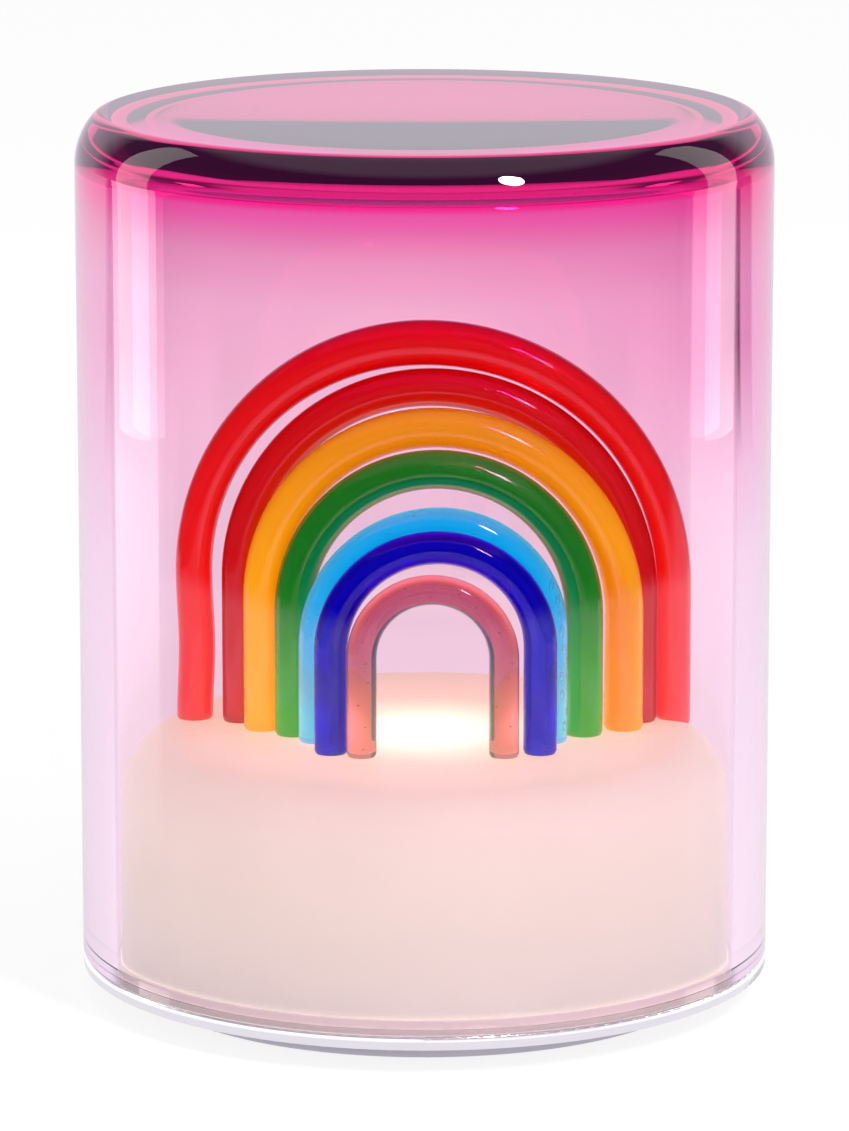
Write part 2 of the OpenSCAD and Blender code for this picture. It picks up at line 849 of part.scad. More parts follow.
// What stands on the control board: chips, a coil, capacitors and connector blocks
module board_parts() {
    blocks = [
        [[-20, 4], [7, 7, 1.2]],
        [[-8, -4], [5, 5, 1]],
        [[10, 6], [6, 4, 1.2]],
        [[-14, 14], [8, 5, 2.8]],
        [[12, -14], [9, 5, 2.8]]
    ];
    drums = [[[4, 2], 3], [[18, -4], 2.5], [[-16, -12], 2.5], [[20, 4], 2.5]];
    color("dimgray")
        translate([0, 0, board_top]) {
            for (b = blocks)
                translate([b[0][0], b[0][1], b[1][2] / 2])
                    cube(b[1], center = true);
            for (d = drums)
                translate([d[0][0], d[0][1], 0])
                    cylinder(h = 2.6, r = d[1], $fn = 32);
        }
}

// Hexagonal brass spacers, pressed into the tray by their studs
module board_spacers() {
    color("goldenrod")
        four_corners(spacer_at)
            translate([0, 0, tray_top])
                difference() {
                    union() {
                        cylinder(h = spacer_h, r = spacer_r, $fn = 6);
                        translate([0, 0, -1.8])
                            cylinder(h = 2, r = m3[0], $fn = 32);
                    }
                    translate([0, 0, spacer_h - spacer_hole])
                        cylinder(h = spacer_hole + over_cut, r = m25[0] + thread_clear);
                }
}

module board_screws() {
    color("darkgray")
        four_corners(spacer_at)
            translate([0, 0, board_top])
                screw_down(m25, board_thick + spacer_hole - screw_short);
}

// The power button: a cap in the foot's floor, a collar that holds it in, and a stem up to the switch
module power_button() {
    color("darkgray") {
        translate([0, 0, button_face])
            cylinder(h = collar_top - button_face, r = button_r);
        translate([0, 0, cavity_z])
            cylinder(h = collar_thick, r = collar_r);
        translate([0, 0, collar_top])
            cylinder(h = switch_z - plunger_show - collar_top, d = stem_d);
    }
}

// The return spring: an open coil of round wire between the button's collar and the tray
module button_spring() {
    turns = 2.5;
    rings = 40;
    sides = 8;
    wire_r = spring_wire / 2;
    low = collar_top + wire_r + 0.05;
    high = tray_z - wire_r - 0.05;
    function turn_of(i) = 360 * turns * i / rings;
    function reach_of(j) = spring_r + wire_r * cos(360 * j / sides);
    points = [
        for (i = [0:rings])
            for (j = [0:sides - 1])
                [
                    reach_of(j) * cos(turn_of(i)),
                    reach_of(j) * sin(turn_of(i)),
                    low + (high - low) * i / rings + wire_r * sin(360 * j / sides)
                ]
    ];
    skin = [
        for (i = [0:rings - 1])
            for (j = [0:sides - 1])
                let (a = i * sides + j, b = i * sides + (j + 1) % sides)
                    for (face = [[a, b, b + sides], [a, b + sides, a + sides]])
                        face
    ];
    first_end = [for (j = [0:sides - 1]) sides - 1 - j];
    last_end = [for (j = [0:sides - 1]) rings * sides + j];
    color("silver")
        polyhedron(points = points, faces = concat(skin, [first_end, last_end]));
}

// The tact switch under the control board, with the blind bore that its plunger slides in
module tact_switch() {
    color("black")
        difference() {
            translate([-switch_half, -switch_half, switch_z])
                cube([2 * switch_half, 2 * switch_half, switch_h]);
            translate([0, 0, switch_z - over_cut])
                cylinder(h = plunger_in + button_travel + 0.2 + over_cut, r = plunger_r + run_clear);
        }
}

module switch_plunger() {
    color("white")
        translate([0, 0, switch_z - plunger_show])
            cylinder(h = plunger_show + plunger_in, r = plunger_r);
}

// The charging board: a strip from under the leads' hole to the socket at the back of the foot
module socket_board() {
    color("seagreen") {
        difference() {
            translate([0, 0, socket_board_z])
                linear_extrude(height = socket_board_thick)
                    intersection() {
                        circle(r = board_end);
                        polygon([
                            [-strip_half, strip_y],
                            [strip_half, strip_y],
                            [strip_half, wide_y],
                            [wide_half, wide_y],
                            [wide_half, foot_ri],
                            [-wide_half, foot_ri],
                            [-wide_half, wide_y],
                            [-strip_half, wide_y]
                        ]);
                    }
            translate([-socket_w / 2 - run_clear, socket_front - socket_l - run_clear, socket_board_z - over_cut])
                cube([socket_w + 2 * run_clear, socket_l, socket_board_thick + 2 * over_cut]);
            for (x = [-socket_screw_at[0], socket_screw_at[0]])
                translate([x, socket_screw_at[1], socket_board_z - over_cut])
                    cylinder(h = socket_board_thick + 2 * over_cut, r = m2[0] + hole_clear);
        }
        translate([charge_x - charge_led[0] / 2, charge_led_y, socket_board_top - 0.01])
            cube(charge_led);
    }
}

// The charging socket: a steel shell with round ends, open at the back of the foot, and its tongue
module usb_socket() {
    shell = 0.3;
    back = 0.9;
    color("silver")
        translate([0, socket_front - socket_l, socket_z]) {
            difference() {
                along_y(socket_l)
                    stadium(socket_w, socket_h);
                translate([0, back, 0])
                    along_y(socket_l)
                        stadium(socket_w - 2 * shell, socket_h - 2 * shell);
            }
            translate([-3.35, back - 0.1, -0.35])
                cube([6.7, socket_l - back - 1.2, 0.7]);
        }
}

module socket_screws() {
    color("darkgray")
        for (x = [-socket_screw_at[0], socket_screw_at[0]])
            translate([x, socket_screw_at[1], socket_board_top])
                screw_down(m2, 2.6);
}

module socket_leads() {
    color("black")
        for (x = [-lead_pitch, 0, lead_pitch])
            translate([x, socket_lead_y, socket_board_top])
                cylinder(h = board_z - socket_board_top, r = lead_r, $fn = 24);
}

// The charge light: a clear pipe from the board's own LED out through the foot's side
module charge_light() {
    pipe_y = charge_led_y + charge_led[1];
    color([0.9, 1, 0.9, 0.6])
        intersection() {
            translate([charge_x, pipe_y, charge_z])
                along_y(foot_r - pipe_y)
                    circle(d = pipe_d);
            cylinder(h = tray_z, r = foot_r - 0.3);
        }
}

glass_shade();
shade_seal();
opal_mound();
mound_seal();
cane_rose();
cane_cobalt();
cane_sky();
cane_green();
cane_amber();
cane_inner_red();
cane_outer_red();
tray();
foot();
foot_pads();
foot_screws();
core_housing();
housing_screws();
led_carrier();
carrier_screws();
led_board();
leds();
led_cover();
led_leads();
cell_cradle();
cradle_screws();
cells();
cell_contacts();
control_board();
board_parts();
board_spacers();
board_screws();
power_button();
button_spring();
tact_switch();
switch_plunger();
socket_board();
usb_socket();
socket_screws();
socket_leads();
charge_light();
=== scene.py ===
# Looks of a cordless table lamp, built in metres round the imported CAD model: a tinted glass bell over an
# opal glass mound that glows, with a rainbow of seven bent glass canes, on a turned metal tray and foot.
# The origin is on the table, on the lamp's axis. The rainbow's front faces -Y and the socket +Y.

import math

import bmesh
import bpy
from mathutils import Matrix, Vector


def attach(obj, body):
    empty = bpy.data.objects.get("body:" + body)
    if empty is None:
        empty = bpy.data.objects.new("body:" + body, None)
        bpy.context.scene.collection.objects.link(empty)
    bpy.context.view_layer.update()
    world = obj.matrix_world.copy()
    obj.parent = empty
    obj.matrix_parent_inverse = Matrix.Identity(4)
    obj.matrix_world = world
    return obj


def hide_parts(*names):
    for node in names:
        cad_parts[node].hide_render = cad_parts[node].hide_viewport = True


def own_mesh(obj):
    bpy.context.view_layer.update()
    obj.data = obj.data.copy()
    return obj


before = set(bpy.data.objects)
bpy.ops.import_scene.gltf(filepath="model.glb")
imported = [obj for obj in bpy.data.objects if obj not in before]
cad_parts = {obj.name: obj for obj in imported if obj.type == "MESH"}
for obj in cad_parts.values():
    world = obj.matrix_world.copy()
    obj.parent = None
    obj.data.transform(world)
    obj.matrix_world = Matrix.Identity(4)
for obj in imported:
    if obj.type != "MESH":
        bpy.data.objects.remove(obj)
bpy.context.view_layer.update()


# Glass shade: a thick bell of clear glass, blown and then coloured from the shoulder down, so the
# magenta fades to almost clear at the rim. Its rim is ground flat and bevelled, and it lifts off the tray.

# Sizes are in mm and angles in degrees.
MM = 0.001
TURN_STEPS = 288
ON_AXIS = 1e-6

SHADE_FOOT = 9.6
SHADE_R = 80.0
SHADE_H = 196.3
SHADE_WALL = 7.8
SHADE_TOP = 7.1
SHOULDER_DROP = 11.8
SHOULDER_IN = 6.7
SHOULDER_TIGHT = 3.7
INNER_CORNER = 4.6
INNER_WIDE = 28.0
INNER_TURN = 68.0
INNER_SAG = 1.2
RIM_BEVEL = 0.2
INNER_BEVEL = 0.06
RIM_GAP = 0.03


def linear(code):
    """Linear colour of an sRGB hex value."""
    parts = [int(code[i : i + 2], 16) / 255 for i in (0, 2, 4)]
    return [p / 12.92 if p <= 0.04045 else ((p + 0.055) / 1.055) ** 2.4 for p in parts] + [1.0]


def add(tree, kind, inputs=None, stops=None, **settings):
    """Adds a node. Among its inputs a socket is linked, a node by its first output, and any other value is
    set, a hex one as a colour. Stops are a ramp's."""
    made = tree.nodes.new(kind)
    for name, value in settings.items():
        setattr(made, name, value)
    for key, value in (inputs or {}).items():
        if isinstance(value, bpy.types.Node):
            value = value.outputs[0]
        if isinstance(value, bpy.types.NodeSocket):
            tree.links.new(value, made.inputs[key])
        else:
            made.inputs[key].default_value = linear(value) if isinstance(value, str) else value
    if stops:
        ramp = made.color_ramp.elements
        while len(ramp) < len(stops):
            ramp.new(0.5)
        for element, (place, code) in zip(ramp, stops):
            element.position = place
            element.color = linear(code)
    return made


def new_material(name):
    """A material, its node tree and the place on the object, in metres, that the tree starts from."""
    material = bpy.data.materials.new(name)
    material.use_nodes = True
    tree = material.node_tree
    tree.nodes.clear()
    return material, tree, add(tree, "ShaderNodeTexCoord").outputs["Object"]


def arc(centre, r, start, end, steps):
    """Points in mm along a round of an outline, with close ones at its ends that keep its neighbours flat."""
    turns = [i / steps for i in range(steps + 1)]
    turns = [0.0, 0.02] + turns[1:-1] + [0.98, 1.0]
    angles = [math.radians(start + (end - start) * t) for t in turns]
    return [(centre[0] + r * math.cos(a), centre[1] + r * math.sin(a)) for a in angles]


def spread(a, b, parts):
    """Points in mm between two points of an outline, both left out."""
    return [(a[0] + (b[0] - a[0]) * i / parts, a[1] + (b[1] - a[1]) * i / parts) for i in range(1, parts)]


def joined(bm, rings, steps):
    """Faces from each ring of vertices to the next, all outwards. A ring of one vertex closes an end."""
    for low, high in zip(rings, rings[1:]):
        for i in range(steps):
            j = (i + 1) % steps
            corners = [low[i % len(low)], low[j % len(low)], high[j % len(high)], high[i % len(high)]]
            bm.faces.new(list(dict.fromkeys(corners)))
    bmesh.ops.recalc_face_normals(bm, faces=bm.faces)


def turned(name, outline):
    """A mesh turned round Z from an outline of (radius, height) in mm that runs from axis to axis."""
    bm = bmesh.new()
    rings = []
    for r, z in outline:
        if r < ON_AXIS:
            rings.append([bm.verts.new((0, 0, z * MM))])
            continue
        angles = [2 * math.pi * i / TURN_STEPS for i in range(TURN_STEPS)]
        rings.append([bm.verts.new((r * MM * math.cos(a), r * MM * math.sin(a), z * MM)) for a in angles])
    joined(bm, rings, TURN_STEPS)
    return finished_mesh(name, bm)


def finished_mesh(name, bm, crease=32):
    """A mesh from bm, shaded smooth but for its sharp edges."""
    for face in bm.faces:
        face.smooth = True
    for edge in bm.edges:
        edge.smooth = len(edge.link_faces) == 2 and edge.calc_face_angle(0) < math.radians(crease)
    mesh = bpy.data.meshes.new(name)
    bm.to_mesh(mesh)
    bm.free()
    return mesh


def in_scene(name, data):
    """A new object in the scene, at the origin."""
    made = bpy.data.objects.new(name, data)
    bpy.context.scene.collection.objects.link(made)
    return made


def piece(name, mesh, material, body, slot, *nodes):
    """Places a finished mesh on its body with its material, and hides the CAD nodes it stands for. Its slot
    is not used.
    """
    mesh.materials.clear()
    mesh.materials.append(material)
    made = in_scene(name, mesh)
    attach(made, body)
    if nodes:
        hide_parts(*nodes)
    return made


# The wide arc's radius follows from the shoulder's width and drop and its tight arc, which it runs into.
wide_r = SHOULDER_IN**2 + SHOULDER_DROP**2 - 2 * SHOULDER_DROP * SHOULDER_TIGHT
wide_r /= 2 * (SHOULDER_IN - SHOULDER_TIGHT)
shoulder_turn = math.degrees(math.atan2(SHOULDER_DROP - SHOULDER_TIGHT, wide_r - SHOULDER_IN))
shade_top = SHADE_FOOT + SHADE_H
inner_r = SHADE_R - SHADE_WALL
inner_top = shade_top - SHADE_TOP
outside = (
    [(0, shade_top), (20, shade_top), (50, shade_top)]
    + arc((SHADE_R - SHOULDER_IN, shade_top - SHOULDER_TIGHT), SHOULDER_TIGHT, 90, shoulder_turn, 14)
    + arc((SHADE_R - wide_r, shade_top - SHOULDER_DROP), wide_r, shoulder_turn, 0, 20)[1:]
)
rim = [
    (SHADE_R, SHADE_FOOT + RIM_BEVEL),
    (SHADE_R - RIM_BEVEL, SHADE_FOOT + RIM_GAP),
    (inner_r + INNER_BEVEL, SHADE_FOOT + RIM_GAP),
    (inner_r, SHADE_FOOT + RIM_GAP + INNER_BEVEL),
]
step_out = (INNER_WIDE - INNER_CORNER) * math.cos(math.radians(INNER_TURN))
step_up = (INNER_WIDE - INNER_CORNER) * math.sin(math.radians(INNER_TURN))
inner_flat = inner_r - INNER_CORNER - step_out
inside = (
    arc((inner_flat + step_out, inner_top - INNER_WIDE + step_up), INNER_CORNER, 0, INNER_TURN, 16)
    + arc((inner_flat, inner_top - INNER_WIDE), INNER_WIDE, INNER_TURN, 90, 16)[1:]
    + [(inner_flat * (1 - i / 24), inner_top - INNER_SAG * (1 - (1 - i / 24) ** 2)) for i in range(1, 25)]
)
shade_outline = outside + spread(outside[-1], rim[0], 12) + rim + spread(rim[-1], inside[0], 12) + inside

# Blown soda-lime glass: clear and polished outside, with a magenta colour layer fused inside, which is
# dense across the top, thins out down the side and has run a little further down on the right. Reflections
# are sharp, and painted light gives the thick shoulder a faint purple glow. The inner face and the skin
# have ramps of their own, by the level up the shade.
shade_glass, tree, place = new_material("magenta_fused_glass")
spot = add(tree, "ShaderNodeSeparateXYZ", {0: place})
x, y, z = (spot.outputs[axis] for axis in "XYZ")
flat = add(tree, "ShaderNodeCombineXYZ", {0: x, 1: y})
out = add(tree, "ShaderNodeVectorMath", {0: flat}, operation="LENGTH").outputs["Value"]
in_side = add(tree, "ShaderNodeMath", {0: out, 1: (inner_r + 0.2) * MM}, operation="LESS_THAN")
under = add(tree, "ShaderNodeMath", {0: z, 1: (inner_top + 0.2) * MM}, operation="LESS_THAN")
within = add(tree, "ShaderNodeMath", {0: in_side, 1: under}, operation="MULTIPLY")
low, high = SHADE_FOOT * MM, shade_top * MM
level = add(tree, "ShaderNodeMapRange", {"Value": z, "From Min": low, "From Max": high})
layer = add(
    tree,
    "ShaderNodeValToRGB",
    {0: level},
    stops=[
        (0.0, "F6E4EC"), (0.3, "F6E6EE"), (0.5, "F8EAF0"), (0.66, "FCF0F4"), (0.76, "FFF8FC"),
        (0.83, "FFF2FC"), (0.885, "FFE0FC"), (0.925, "FF9AF0"), (0.955, "FF80EC"), (0.965, "C47CF0"),
    ],
)
skin = add(
    tree,
    "ShaderNodeValToRGB",
    {0: level},
    stops=[
        (0.0, "FDF6FB"), (0.17, "FDF3FA"), (0.5, "FBE6F4"), (0.66, "FACFE6"), (0.76, "F9BFDC"),
        (0.83, "F8BCDA"), (0.885, "F8A2C6"), (0.925, "F86CA6"), (0.96, "FA3684"), (1.0, "EE2076"),
    ],
)
right = add(tree, "ShaderNodeMapRange", {"Value": x, "From Min": 0.0, "From Max": 0.07})
upper = add(tree, "ShaderNodeMapRange", {"Value": level, "From Min": 0.5, "From Max": 0.72})
run = add(tree, "ShaderNodeMath", {0: right, 1: upper}, operation="MULTIPLY")
skin = add(
    tree,
    "ShaderNodeMix",
    {0: run, 6: skin, 7: "FFE2F4"},
    data_type="RGBA",
    blend_type="MULTIPLY",
)
tint = add(tree, "ShaderNodeMix", {0: within, 6: skin.outputs[2], 7: layer}, data_type="RGBA")
# Painted light: a faint purple glow painted into the thick shoulder glass, near its outer top edge.
shoulder_glow_height = add(tree, "ShaderNodeMapRange", {"Value": z, "From Min": 0.186, "From Max": 0.196})
shoulder_glow_reach = add(tree, "ShaderNodeMapRange", {"Value": out, "From Min": 0.067, "From Max": 0.071})
painted_shoulder_glow = add(tree, "ShaderNodeMath", {0: shoulder_glow_height, 1: shoulder_glow_reach}, operation="MULTIPLY")
glass = add(
    tree,
    "ShaderNodeBsdfPrincipled",
    {
        "Base Color": tint.outputs[2],
        "Roughness": 0.0,
        "IOR": 1.5,
        "Transmission Weight": 1.0,
        "Emission Color": "32042A",
        "Emission Strength": painted_shoulder_glow,
    },
)
soak = add(tree, "ShaderNodeVolumeAbsorption", {"Color": "FDE0F4", "Density": 26.0})
add(tree, "ShaderNodeOutputMaterial", {"Surface": glass, "Volume": soak})

piece("shade_bell", turned("shade_bell", shade_outline), shade_glass, "shade", "tinted_glass", "glass_shade")


# Opal mound: a low drum of white opal glass, pressed, with a rounded top edge and a satin surface.
# The light unit under it makes it glow, most of all in the middle of its top.

MOUND_R = 71.0
MOUND_H = 51.4
MOUND_WALL = 3.5
MOUND_ROUND = 12.0
mound_top = SHADE_FOOT + MOUND_H


def bell(r, h, round_r):
    """Outline in mm of a plain bell, from its axis out and down to its rim."""
    top = SHADE_FOOT + h
    bend = arc((r - round_r, top - round_r), round_r, 90, 0, 20)
    return [(0, top), (12, top), (30, top), (48, top)] + bend + spread(bend[-1], (r, SHADE_FOOT), 8)


# Pressed opal glass: clouded white all through, etched satin so that it mirrors almost nothing, and lit warm
# from its middle out by the light unit.
opal, tree, place = new_material("satin_opal_glass")
middle = add(
    tree,
    "ShaderNodeMapping",
    {"Vector": place, "Location": (0, 0, -mound_top * MM * 1.3), "Scale": (1, 1, 1.3)},
)
reach = add(tree, "ShaderNodeVectorMath", {0: middle}, operation="LENGTH")
far = add(tree, "ShaderNodeMapRange", {"Value": reach.outputs["Value"], "From Min": 0.0, "From Max": 0.1})
glow = add(
    tree,
    "ShaderNodeValToRGB",
    {0: far},
    stops=[
        (0.0, "FFF8DC"), (0.1, "FFF5D4"), (0.2, "FCEABC"), (0.36, "EAD4A6"), (0.6, "C8C29C"),
        (0.8, "AAB288"), (1.0, "88987E"),
    ],
)
power = add(
    tree,
    "ShaderNodeMapRange",
    {"Value": far, "From Min": 0.05, "From Max": 0.38, "To Min": 1.5, "To Max": 0.85},
    interpolation_type="SMOOTHSTEP",
)
clouds = add(tree, "ShaderNodeTexNoise", {"Vector": place, "Scale": 45.0, "Detail": 3.0})
milk = add(tree, "ShaderNodeValToRGB", {0: clouds}, stops=[(0.3, "F1ECEA"), (0.7, "F8F4F1")])
etch = add(tree, "ShaderNodeTexNoise", {"Vector": place, "Scale": 2500.0, "Detail": 2.0})
grain = add(tree, "ShaderNodeBump", {"Height": etch, "Strength": 0.08, "Distance": 0.0001})
satin = add(tree, "ShaderNodeMapRange", {"Value": clouds, "To Min": 0.38, "To Max": 0.5})
surface = add(
    tree,
    "ShaderNodeBsdfPrincipled",
    {
        "Base Color": milk,
        "Roughness": satin,
        "IOR": 1.5,
        "Specular IOR Level": 0.12,
        "Normal": grain,
        "Emission Color": glow,
        "Emission Strength": power,
    },
)
add(tree, "ShaderNodeOutputMaterial", {"Surface": surface})

mound_outside = bell(MOUND_R, MOUND_H, MOUND_ROUND)
mound_inside = bell(MOUND_R - MOUND_WALL, MOUND_H - MOUND_WALL, MOUND_ROUND - MOUND_WALL)
mound_outline = (
    mound_outside
    + [(MOUND_R, SHADE_FOOT + 0.4), (MOUND_R - 0.4, SHADE_FOOT)]
    + [(MOUND_R - MOUND_WALL + 0.4, SHADE_FOOT), (MOUND_R - MOUND_WALL, SHADE_FOOT + 0.4)]
    + mound_inside[::-1]
)
piece("mound_drum", turned("mound_drum", mound_outline), opal, "base", "opal_glass", "opal_mound")


# Rainbow canes: seven rods of coloured glass, drawn round, softened in a flame and bent over a former,
# then cut and fused to the mound by their feet. Each stands in a plane of its own, just behind the last.

CROWN_SAG = 1.6
LEG_LEAN = 0.6

# Each rod's diameter, how far its legs stand to the left and right of the lamp's axis, how high its crown is
# over the mound and how far that is shifted to the right, and its plane, all in mm.
CANES = {
    "rose": {"d": 6.8, "bend": (14.2, 18.0, 38.9, 1.7), "y": -25.4},
    "cobalt": {"d": 7.6, "bend": (21.2, 26.2, 48.0, 3.0), "y": -22.11},
    "sky": {"d": 8.0, "bend": (25.0, 28.9, 51.0, 3.4), "y": -10.47},
    "green": {"d": 9.0, "bend": (30.2, 36.9, 62.5, 2.8), "y": -3.37},
    "amber": {"d": 9.2, "bend": (37.7, 46.6, 71.2, 2.4), "y": 2.29},
    "inner_red": {"d": 8.8, "bend": (43.5, 50.7, 79.2, 1.5), "y": 10.64},
    "outer_red": {"d": 9.0, "bend": (54.8, 59.5, 90.0, 0.2), "y": 13.32},
}
FOOT_GAP = 0.04
FOOT_ROUND = 0.35
FOOT_BLEND = 3.0
CANE_SWELL = 0.03
CANE_SIDES = 40
PATH_STEP = 0.7


def mound_surface(x, y):
    """Height in mm of the mound's top at a place, where its round edge falls away."""
    out = math.hypot(x, y) - (MOUND_R - MOUND_ROUND)
    return mound_top - (MOUND_ROUND - math.sqrt(max(0.0, MOUND_ROUND**2 - max(0.0, out) ** 2)))


def cane_path(bend, y):
    """Points in mm up one leg, over the crown's two quarter bends and down the other leg."""
    left, right, crown, over = bend
    points = []
    for side, reach in ((-1, left + over), (1, right - over)):
        middle = mound_top + crown - reach
        leg_x = over + side * reach
        foot_z = mound_top + FOOT_GAP
        legs = max(2, round((middle - foot_z) / PATH_STEP))
        turns = max(8, round(reach * math.pi / 2 / PATH_STEP))
        half = [(leg_x, y, foot_z + (middle - foot_z) * i / legs) for i in range(legs)]
        for i in range(turns + 1):
            a = math.pi / 2 * i / turns
            half.append((over + side * reach * math.cos(a), y, middle + reach * math.sin(a)))
        points += half if side < 0 else half[-2::-1]
    return points


def group_start(name, inputs, output):
    """A Geometry Nodes tree with inputs of given kinds and one output, and what comes in."""
    tree = bpy.data.node_groups.new(name, "GeometryNodeTree")
    for label, kind in inputs.items():
        tree.interface.new_socket(label, in_out="INPUT", socket_type="NodeSocket" + kind)
    tree.interface.new_socket(output, in_out="OUTPUT", socket_type="NodeSocketGeometry")
    return tree, add(tree, "NodeGroupInput").outputs


def group_end(tree, shape, material):
    """Ends a Geometry Nodes tree with its instances made real and its material set."""
    whole = add(tree, "GeometryNodeRealizeInstances", {0: shape})
    dressed = add(tree, "GeometryNodeSetMaterial", {"Geometry": whole, "Material": material})
    add(tree, "NodeGroupOutput", {0: dressed})
    return tree


def cane_tree():
    """Geometry Nodes that draw a round rod along a path, with soft feet and a slight swell here and there."""
    sizes = dict.fromkeys(("Thickness", "Swell", "Foot round", "Seed"), "Float")
    tree, given = group_start("bent_cane", {"Path": "Geometry", **sizes, "Glass": "Material"}, "Rod")
    line = add(tree, "GeometryNodeMeshToCurve", {0: given["Path"]})
    where = add(tree, "GeometryNodeInputPosition")
    lumps = add(
        tree,
        "ShaderNodeTexNoise",
        {"Vector": where, "W": given["Seed"], "Scale": 38.0, "Detail": 1.0},
        noise_dimensions="4D",
    )
    lump = add(tree, "ShaderNodeMath", {0: lumps.outputs[0], 1: 0.5}, operation="SUBTRACT")
    swell = add(tree, "ShaderNodeMath", {0: lump, 1: given["Swell"], 2: 1.0}, operation="MULTIPLY_ADD")
    half = add(tree, "ShaderNodeMath", {0: given["Thickness"], 1: 0.5}, operation="MULTIPLY")
    full = add(tree, "ShaderNodeMath", {0: half, 1: swell}, operation="MULTIPLY")
    along = add(tree, "GeometryNodeSplineParameter").outputs["Length"]
    total = add(tree, "GeometryNodeSplineLength").outputs["Length"]
    rest = add(tree, "ShaderNodeMath", {0: total, 1: along}, operation="SUBTRACT")
    near = add(tree, "ShaderNodeMath", {0: rest, 1: along}, operation="MINIMUM")
    share = add(tree, "ShaderNodeMath", {0: near, 1: given["Foot round"]}, operation="DIVIDE", use_clamp=True)
    away = add(tree, "ShaderNodeMath", {0: 1.0, 1: share}, operation="SUBTRACT")
    square = add(tree, "ShaderNodeMath", {0: away, 1: away}, operation="MULTIPLY")
    under = add(tree, "ShaderNodeMath", {0: 1.0, 1: square}, operation="SUBTRACT")
    bow = add(tree, "ShaderNodeMath", {0: under}, operation="SQRT")
    back = add(tree, "ShaderNodeMath", {0: 1.0, 1: bow}, operation="SUBTRACT")
    taken = add(tree, "ShaderNodeMath", {0: back, 1: given["Foot round"]}, operation="MULTIPLY")
    radius = add(tree, "ShaderNodeMath", {0: full, 1: taken}, operation="SUBTRACT")
    sized = add(tree, "GeometryNodeSetCurveRadius", {"Curve": line, "Radius": radius})
    ring = add(tree, "GeometryNodeCurvePrimitiveCircle", {"Resolution": CANE_SIDES, "Radius": 1.0})
    drawn = {"Curve": sized, "Profile Curve": ring, "Scale": add(tree, "GeometryNodeInputRadius")}
    rod = add(tree, "GeometryNodeCurveToMesh", {**drawn, "Fill Caps": True})
    return group_end(tree, rod, given["Glass"])


def grown(tree, points, values, edges=True):
    """A plain mesh from a Geometry Nodes tree on a path in mm, with the tree's inputs set by name."""
    mesh = bpy.data.meshes.new("path")
    links = [(i, i + 1) for i in range(len(points) - 1)] if edges else []
    mesh.from_pydata([[c * MM for c in p] for p in points], links, [])
    holder = in_scene("path", mesh)
    modifier = holder.modifiers.new("grow", "NODES")
    modifier.node_group = tree
    for item in tree.interface.items_tree:
        if item.item_type == "SOCKET" and item.in_out == "INPUT" and item.name in values:
            modifier[item.identifier] = values[item.name]
    ready = holder.evaluated_get(bpy.context.evaluated_depsgraph_get())
    result = bpy.data.meshes.new_from_object(ready)
    holder.modifiers.clear()
    bpy.data.objects.remove(holder)
    return result


def hand_bent(x, z, cane):
    """A place in mm on the outer red cane, whose crown got thicker in the bend and whose left leg leans."""
    left, right, crown, over = cane["bend"]
    reach = left + over if x < over else right - over
    up = z - (mound_top + crown - reach)
    out = math.hypot(x - over, up)
    if up > 0:
        inward = min(1.0, max(0.0, (reach + cane["d"] / 2 - out) / cane["d"]))
        thicker = CROWN_SAG * inward * (up / out) ** 3
        return x - (x - over) / out * thicker, z - up / out * thicker
    if x < over:
        x += LEG_LEAN * math.sin(math.pi * min(1.0, -up / (crown - reach))) ** 2
    return x, z


# Lead-free cane glass: opal colours scatter light all through and clear ones only tint it. The flame has
# polished every cane, so each has sharp highlights over its body, and its edges look paler than its middle.
# A glow is painted into each cane's foot and crown for the mound's light that it carries up, strongest face
# on in the clear ones.
def cane_glass(name, core, edge, depth, density, glow, milkiness=0.0, haze=0.0):
    """A cane's glass: two tints face on and one at its edges, its colour in depth and how dense that is per
    metre, a glow painted into its foot and crown for the mound's light and that glow's reach in mm, its milk
    and its haze."""
    material, tree, place = new_material(name)
    flow = add(tree, "ShaderNodeTexNoise", {"Vector": place, "Scale": 60.0, "Detail": 2.0})
    tone = add(tree, "ShaderNodeMix", {0: flow, 6: core[0], 7: core[1]}, data_type="RGBA")
    facing = add(tree, "ShaderNodeLayerWeight", {"Blend": 0.35}).outputs["Facing"]
    cased = add(tree, "ShaderNodeMix", {0: facing, 6: tone.outputs[2], 7: edge}, data_type="RGBA")
    parts = add(tree, "ShaderNodeSeparateXYZ", {0: place})
    low, high = mound_top + 0.2 * glow[2], mound_top + glow[2]
    painted_glow_rise = add(
        tree,
        "ShaderNodeMapRange",
        {"Value": parts.outputs["Z"], "From Min": low * MM, "From Max": high * MM},
        interpolation_type="SMOOTHSTEP",
    )
    # Painted light: the mound's glow painted into the cane, from its foot colour up to its crown colour.
    painted_glow_tint = add(tree, "ShaderNodeMix", {0: painted_glow_rise, 6: glow[0], 7: glow[1]}, data_type="RGBA")
    fade = 0.0 if haze else -1.0
    painted_glow_strength = add(tree, "ShaderNodeMath", {0: facing, 1: fade, 2: 1.0}, operation="MULTIPLY_ADD")
    surface = add(
        tree,
        "ShaderNodeBsdfPrincipled",
        {
            "Base Color": cased.outputs[2],
            "Roughness": haze,
            "IOR": 1.5,
            "Transmission Weight": 1.0 - milkiness,
            "Specular IOR Level": 0.15 if haze else 0.5,
            "Coat Weight": 1.0 if haze else 0.0,
            "Coat Roughness": 0.01,
            "Coat IOR": 1.6,
            "Emission Color": painted_glow_tint.outputs[2],
            "Emission Strength": painted_glow_strength,
        },
    )
    soak = add(tree, "ShaderNodeVolumeAbsorption", {"Color": depth, "Density": density})
    add(tree, "ShaderNodeOutputMaterial", {"Surface": surface, "Volume": soak})
    return material
